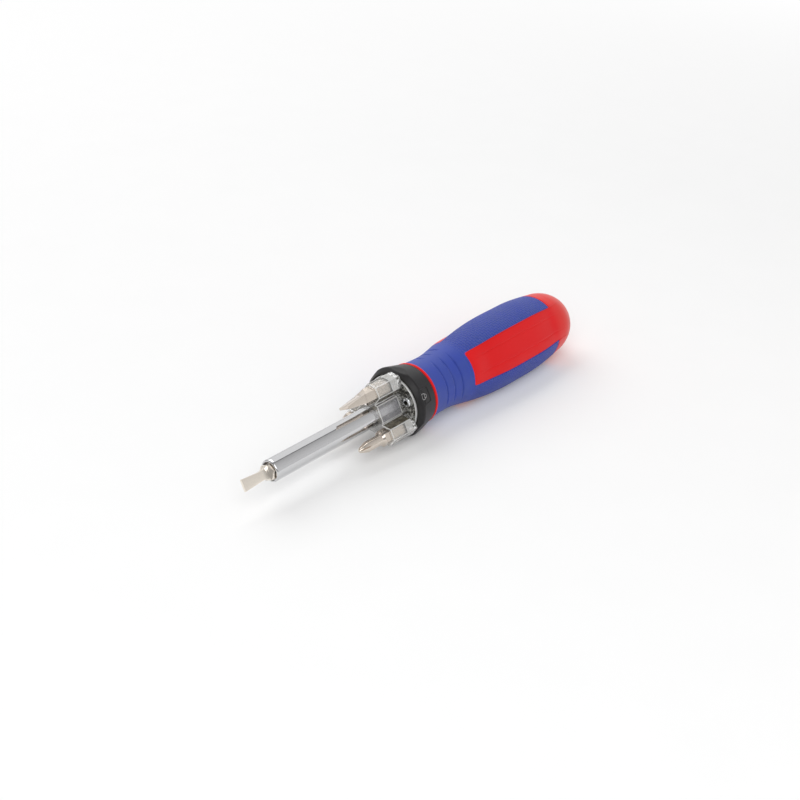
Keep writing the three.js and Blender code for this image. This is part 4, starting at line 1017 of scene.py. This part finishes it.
def make_shaft():
    angles = spaced(0, 360, 120)[:-1]
    socket = [hex_radius(SOCKET_HEX, DRIVE_ANGLE, d) for d in angles]
    seat = [min(hex_radius(SEAT_HEX, 90, d), SHAFT_RADIUS) for d in angles]
    # From the magnet's hole out of the socket, over the mouth and along the bar to the clip's groove.
    rows = [(SOCKET_FLOOR + MAGNET_DEPTH, MAGNET_HOLE), (SOCKET_FLOOR, MAGNET_HOLE), (SOCKET_FLOOR, socket),
            (SHAFT_FRONT + 1.3, socket), (SHAFT_FRONT + 1.0, SOCKET_LEAD),
            (SHAFT_FRONT + 0.12, SOCKET_LEAD), (SHAFT_FRONT + 0.03, SOCKET_LEAD + 0.04),
            (SHAFT_FRONT, SOCKET_LEAD + 0.12), (SHAFT_FRONT, SHAFT_RADIUS - 0.42),
            (SHAFT_FRONT + 0.04, SHAFT_RADIUS - 0.33), (SHAFT_FRONT + 0.36, SHAFT_RADIUS - 0.04),
            (SHAFT_FRONT + 0.46, SHAFT_RADIUS)]
    rows += [(s, SHAFT_RADIUS) for s in spaced(SHAFT_FRONT + 1.5, GEAR_SEAT - 0.3, 30)]
    rows += [(GEAR_SEAT, SHAFT_RADIUS - 0.2), (GEAR_SEAT, seat), (GEAR_SEAT_REAR, seat),
             (GEAR_SEAT_REAR, JOURNAL), (CLIP_GROOVE[0], JOURNAL), (CLIP_GROOVE[0], JOURNAL - CLIP_DEPTH),
             (CLIP_GROOVE[1], JOURNAL - CLIP_DEPTH), (CLIP_GROOVE[1], JOURNAL),
             (SHAFT_REAR - SHAFT_CHAMFER, JOURNAL), (SHAFT_REAR, JOURNAL - SHAFT_CHAMFER)]
    rings = []
    for station, size in rows:
        radii = size if isinstance(size, list) else [size] * len(angles)
        rings.append([(station, radius, d) for radius, d in zip(radii, angles)])
    shaft = ringed("chrome_shaft", rings, CHROME, 40.0, close_front=True, close_rear=True)
    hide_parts("shaft")
    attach(shaft, "spindle")


# Insert bits, drawn along X from the tip, with the blade's width upright

def bit_blank():
    """A hexagonal bar, and the step that turns the corners of its rear end off."""
    reach = BIT_HEX / 2 / math.cos(math.pi / 6)
    over = 1.5
    blank = block(prism(hexagon(BIT_HEX), "X", -1, BIT_LENGTH))
    ends = lathed([(-2, 0), (-2, reach + over), (BIT_LENGTH - BIT_CHAMFER - over, reach + over),
                   (BIT_LENGTH + over, reach - BIT_CHAMFER - over), (BIT_LENGTH + over, 0)], 48)
    return blank, ("INTERSECT", block(ends))


def blade_outline(tip, root, start=0.0):
    """A blade seen from one side: straight from tip to root, then hollowed out to the hexagon."""
    rise = BIT_HEX - root / 2
    run = min(BLADE_HOLLOW, math.sqrt(2 * BLADE_HOLLOW * rise - rise ** 2))
    slope = (root - tip) / 2 / BLADE_LENGTH
    half = [(start, tip / 2 + slope * start), (BLADE_LENGTH, root / 2)]
    for share in spaced(0, 1, 16)[1:]:
        half.append((BLADE_LENGTH + share * run,
                     root / 2 + BLADE_HOLLOW - math.sqrt(BLADE_HOLLOW ** 2 - (share * run) ** 2)))
    half.append((BIT_LENGTH + 1, half[-1][1]))
    return half + [(x, -y) for x, y in half[::-1]]


def make_slotted(name, node, body, blade, place, finish):
    width, neck, root = blade
    blank, ends = bit_blank()
    side = block(prism(blade_outline(BLADE_TIP, root), "Z", -BIT_HEX, BIT_HEX))
    plan = block(prism(blade_outline(width, neck, start=-0.5), "Y", -BIT_HEX, BIT_HEX))
    worked(blank, [ends, ("INTERSECT", side), ("INTERSECT", plan)])
    bit = finished(blank, name, finish, 0.09, place, 28.0)
    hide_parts(node)
    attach(bit, body)


def make_cross(name, node, body, neck, place):
    blank, ends = bit_blank()
    neck_end = POINT_TAPER + POINT_NECK
    shoulder = neck_end + BIT_HEX / 2 - neck
    front = lathed([(0, 0), (0, POINT_RADIUS / 2), (POINT_RADIUS / 2, POINT_RADIUS),
                    (POINT_TAPER, neck - 0.06), (POINT_TAPER + 0.4, neck), (neck_end - 0.3, neck),
                    (neck_end + 0.25, neck + 0.12), (shoulder + BIT_HEX / 2, BIT_HEX),
                    (BIT_LENGTH + 1, BIT_HEX), (BIT_LENGTH + 1, 0)], 64)
    steps = [ends, ("INTERSECT", block(front))]
    floor = POINT_RADIUS / 2
    slope = math.atan2(neck - floor, POINT_FLUTE)
    vee = [(0, 0), (-neck, neck), (neck, neck)]
    for turn in (0, 90, 180, 270):
        sunk = Matrix.Rotation(math.radians(turn), 4, "X") @ Matrix.Translation((0, 0, floor))
        flute = sunk @ Matrix.Rotation(-slope, 4, "Y")
        steps.append(("DIFFERENCE", block(prism(vee, "X", -1, 2 * POINT_FLUTE), flute)))
    worked(blank, steps)
    bit = finished(blank, name, NICKEL, 0.06, place, 28.0)
    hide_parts(node)
    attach(bit, body)


def make_bits():
    stored = [tool_place(STORED_TIP, POCKET_RING, way, 90 - STORED_ANGLE) for way in POCKET_ANGLES]
    driving = tool_place(DRIVE_TIP, 0, 0, 90 - DRIVE_ANGLE)
    make_slotted("driving_blade", "bit_slotted", "drive_bit", DRIVE_BLADE, driving, BRIGHTER_NICKEL)
    make_slotted("spare_blade", "bit_slotted_spare", "top_bit", SPARE_BLADE, stored[0], NICKEL)
    make_cross("near_cross_point", "bit_phillips", "near_bit", NEAR_NECK_RADIUS, stored[1])
    make_cross("far_cross_point", "bit_phillips_spare", "far_bit", FAR_NECK_RADIUS, stored[2])


make_core()
make_grip()
make_collar()
make_symbol()
make_magazine()
make_screws()
make_shaft()
make_bits()

# The ratchet's own pieces keep their CAD shape.
INSIDE = {
    "socket_magnet": STEEL, "ratchet_gear": STEEL, "thrust_washer": STEEL, "shaft_clip": STEEL,
    "pawl_rocker": STEEL, "pawl_pin": STEEL, "selector_plunger": STEEL, "plunger_spring": STEEL,
    "detent_ball": STEEL, "detent_spring": STEEL, "ratchet_body": CASTING, "cover_plate": BLACKENED_STEEL_AND_SHADE,
}
for name, finish in INSIDE.items():
    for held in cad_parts[name].material_slots:
        held.material = finish


# Stage

def paper_floor():
    # Matt white paper sweep: even and pale, and white to the eye where no shadow falls on it.
    finish, tree = empty_finish("matt_white_paper")
    spot = add(tree, "ShaderNodeTexCoord")
    fibre = add(tree, "ShaderNodeTexNoise", {"Scale": per_mm(30.0), "Detail": 2.0},
                {"Vector": spot.outputs["Object"]})
    tint = add(tree, "ShaderNodeValToRGB", {}, {"Fac": fibre.outputs["Fac"]})
    tint.color_ramp.elements[0].color = linear("#F5F5F5")
    tint.color_ramp.elements[1].color = linear("#F7F7F7")
    paper = add(tree, "ShaderNodeBsdfDiffuse", {"Roughness": 0.5}, {"Color": tint.outputs["Color"]})
    path = add(tree, "ShaderNodeLightPath")
    seen = add(tree, "ShaderNodeMath", {"operation": "MAXIMUM"},
               {0: path.outputs["Is Camera Ray"], 1: path.outputs["Is Glossy Ray"]})
    seen = add(tree, "ShaderNodeMath", {"operation": "MAXIMUM"},
               {0: seen.outputs["Value"], 1: path.outputs["Is Transmission Ray"]})
    lift = add(tree, "ShaderNodeMath", {"operation": "MULTIPLY", 1: PAPER_LIFT}, {0: seen.outputs["Value"]})
    glow = add(tree, "ShaderNodeEmission", {"Color": (1, 1, 1, 1)}, {"Strength": lift.outputs["Value"]})
    both = add(tree, "ShaderNodeAddShader", {}, {0: paper.outputs["BSDF"], 1: glow.outputs["Emission"]})
    # Past the lamps' reach the paper is plain white to the eye, and so it runs into the white behind it.
    away = add(tree, "ShaderNodeVectorMath", {"operation": "LENGTH"}, {0: spot.outputs["Object"]})
    far = add(tree, "ShaderNodeMapRange", {"From Min": PAPER_NEAR, "From Max": PAPER_FAR},
              {"Value": away.outputs["Value"]})
    fade = add(tree, "ShaderNodeMath", {"operation": "MULTIPLY"},
               {0: far.outputs["Result"], 1: seen.outputs["Value"]})
    white = add(tree, "ShaderNodeEmission", {"Color": (1, 1, 1, 1), "Strength": 1.0})
    sweep = add(tree, "ShaderNodeMixShader", {},
                {0: fade.outputs["Value"], 1: both.outputs["Shader"], 2: white.outputs["Emission"]})
    add(tree, "ShaderNodeOutputMaterial", {}, {"Surface": sweep.outputs["Shader"]})
    return finish


def make_floor():
    reach = FLOOR_REACH
    corners = [(-reach, -reach, 0), (reach, -reach, 0), (reach, reach, 0), (-reach, reach, 0)]
    floor = made("paper_sweep", corners, [[0, 1, 2, 3]], paper_floor())


def make_world():
    world = bpy.data.worlds.new("soft_studio")
    bpy.context.scene.world = world
    world.use_nodes = True
    tree = world.node_tree
    tree.nodes.clear()
    way = add(tree, "ShaderNodeTexCoord")
    parts = add(tree, "ShaderNodeSeparateXYZ", {}, {"Vector": way.outputs["Generated"]})
    # The studio's tone goes by the angle over the tool.
    over = add(tree, "ShaderNodeMath", {"operation": "ARCTAN2"},
               {0: parts.outputs["Y"], 1: parts.outputs["Z"]})
    share = add(tree, "ShaderNodeMapRange", {"From Min": -math.pi / 2, "From Max": math.pi / 2},
                {"Value": over.outputs["Value"]})
    tone = add(tree, "ShaderNodeValToRGB", {}, {"Fac": share.outputs["Result"]})
    ramp = tone.color_ramp
    for i, (angle, grey) in enumerate(STUDIO_TONES):
        stop = ramp.elements[i] if i < 2 else ramp.elements.new(1.0)
        stop.position = (angle + 90) / 180
        stop.color = (grey, grey, grey, 1)
    # The side of the room behind the camera is darker.
    depth = add(tree, "ShaderNodeMapRange",
                {"From Min": DIM_SIDE[0], "From Max": DIM_SIDE[1], "To Min": DIM_LEVEL},
                {"Value": parts.outputs["X"]})
    # The camera itself sees plain white behind the floor.
    path = add(tree, "ShaderNodeLightPath")
    shown = add(tree, "ShaderNodeMix", {"data_type": "RGBA", "B": (1, 1, 1, 1)},
                {"Factor": path.outputs["Is Camera Ray"], "A": tone.outputs["Color"]})
    level = add(tree, "ShaderNodeMath", {"operation": "MAXIMUM"},
                {0: depth.outputs["Result"], 1: path.outputs["Is Camera Ray"]})
    sky = add(tree, "ShaderNodeBackground", {},
              {"Color": shown.outputs["Result"], "Strength": level.outputs["Value"]})
    add(tree, "ShaderNodeOutputWorld", {}, {"Surface": sky.outputs["Background"]})


def make_lamps():
    for name, place, size, power in LAMPS:
        lamp = bpy.data.lights.new(name, "AREA")
        lamp.shape = "SQUARE"
        lamp.size = size
        lamp.energy = power
        holder = bpy.data.objects.new(name, lamp)
        bpy.context.scene.collection.objects.link(holder)
        holder.location = place
        holder.rotation_euler = (-Vector(place)).to_track_quat("-Z", "Y").to_euler()


def make_camera():
    camera = bpy.data.cameras.new("bench_camera")
    camera.sensor_width = CAMERA_SENSOR
    camera.lens = CAMERA_LENS
    camera.shift_y = CAMERA_SHIFT
    camera.clip_start = CAMERA_NEAR
    holder = bpy.data.objects.new("bench_camera", camera)
    bpy.context.scene.collection.objects.link(holder)
    forward = Vector(CAMERA_FORWARD).normalized()
    right = Vector(CAMERA_RIGHT)
    right = (right - forward * right.dot(forward)).normalized()
    up = right.cross(forward)
    turn = Matrix((right, up, -forward)).transposed().to_4x4()
    holder.matrix_world = Matrix.Translation(CAMERA_PLACE) @ turn
    bpy.context.scene.camera = holder


make_floor()
make_world()
make_lamps()
make_camera()
bpy.context.scene.view_settings.view_transform = "Standard"
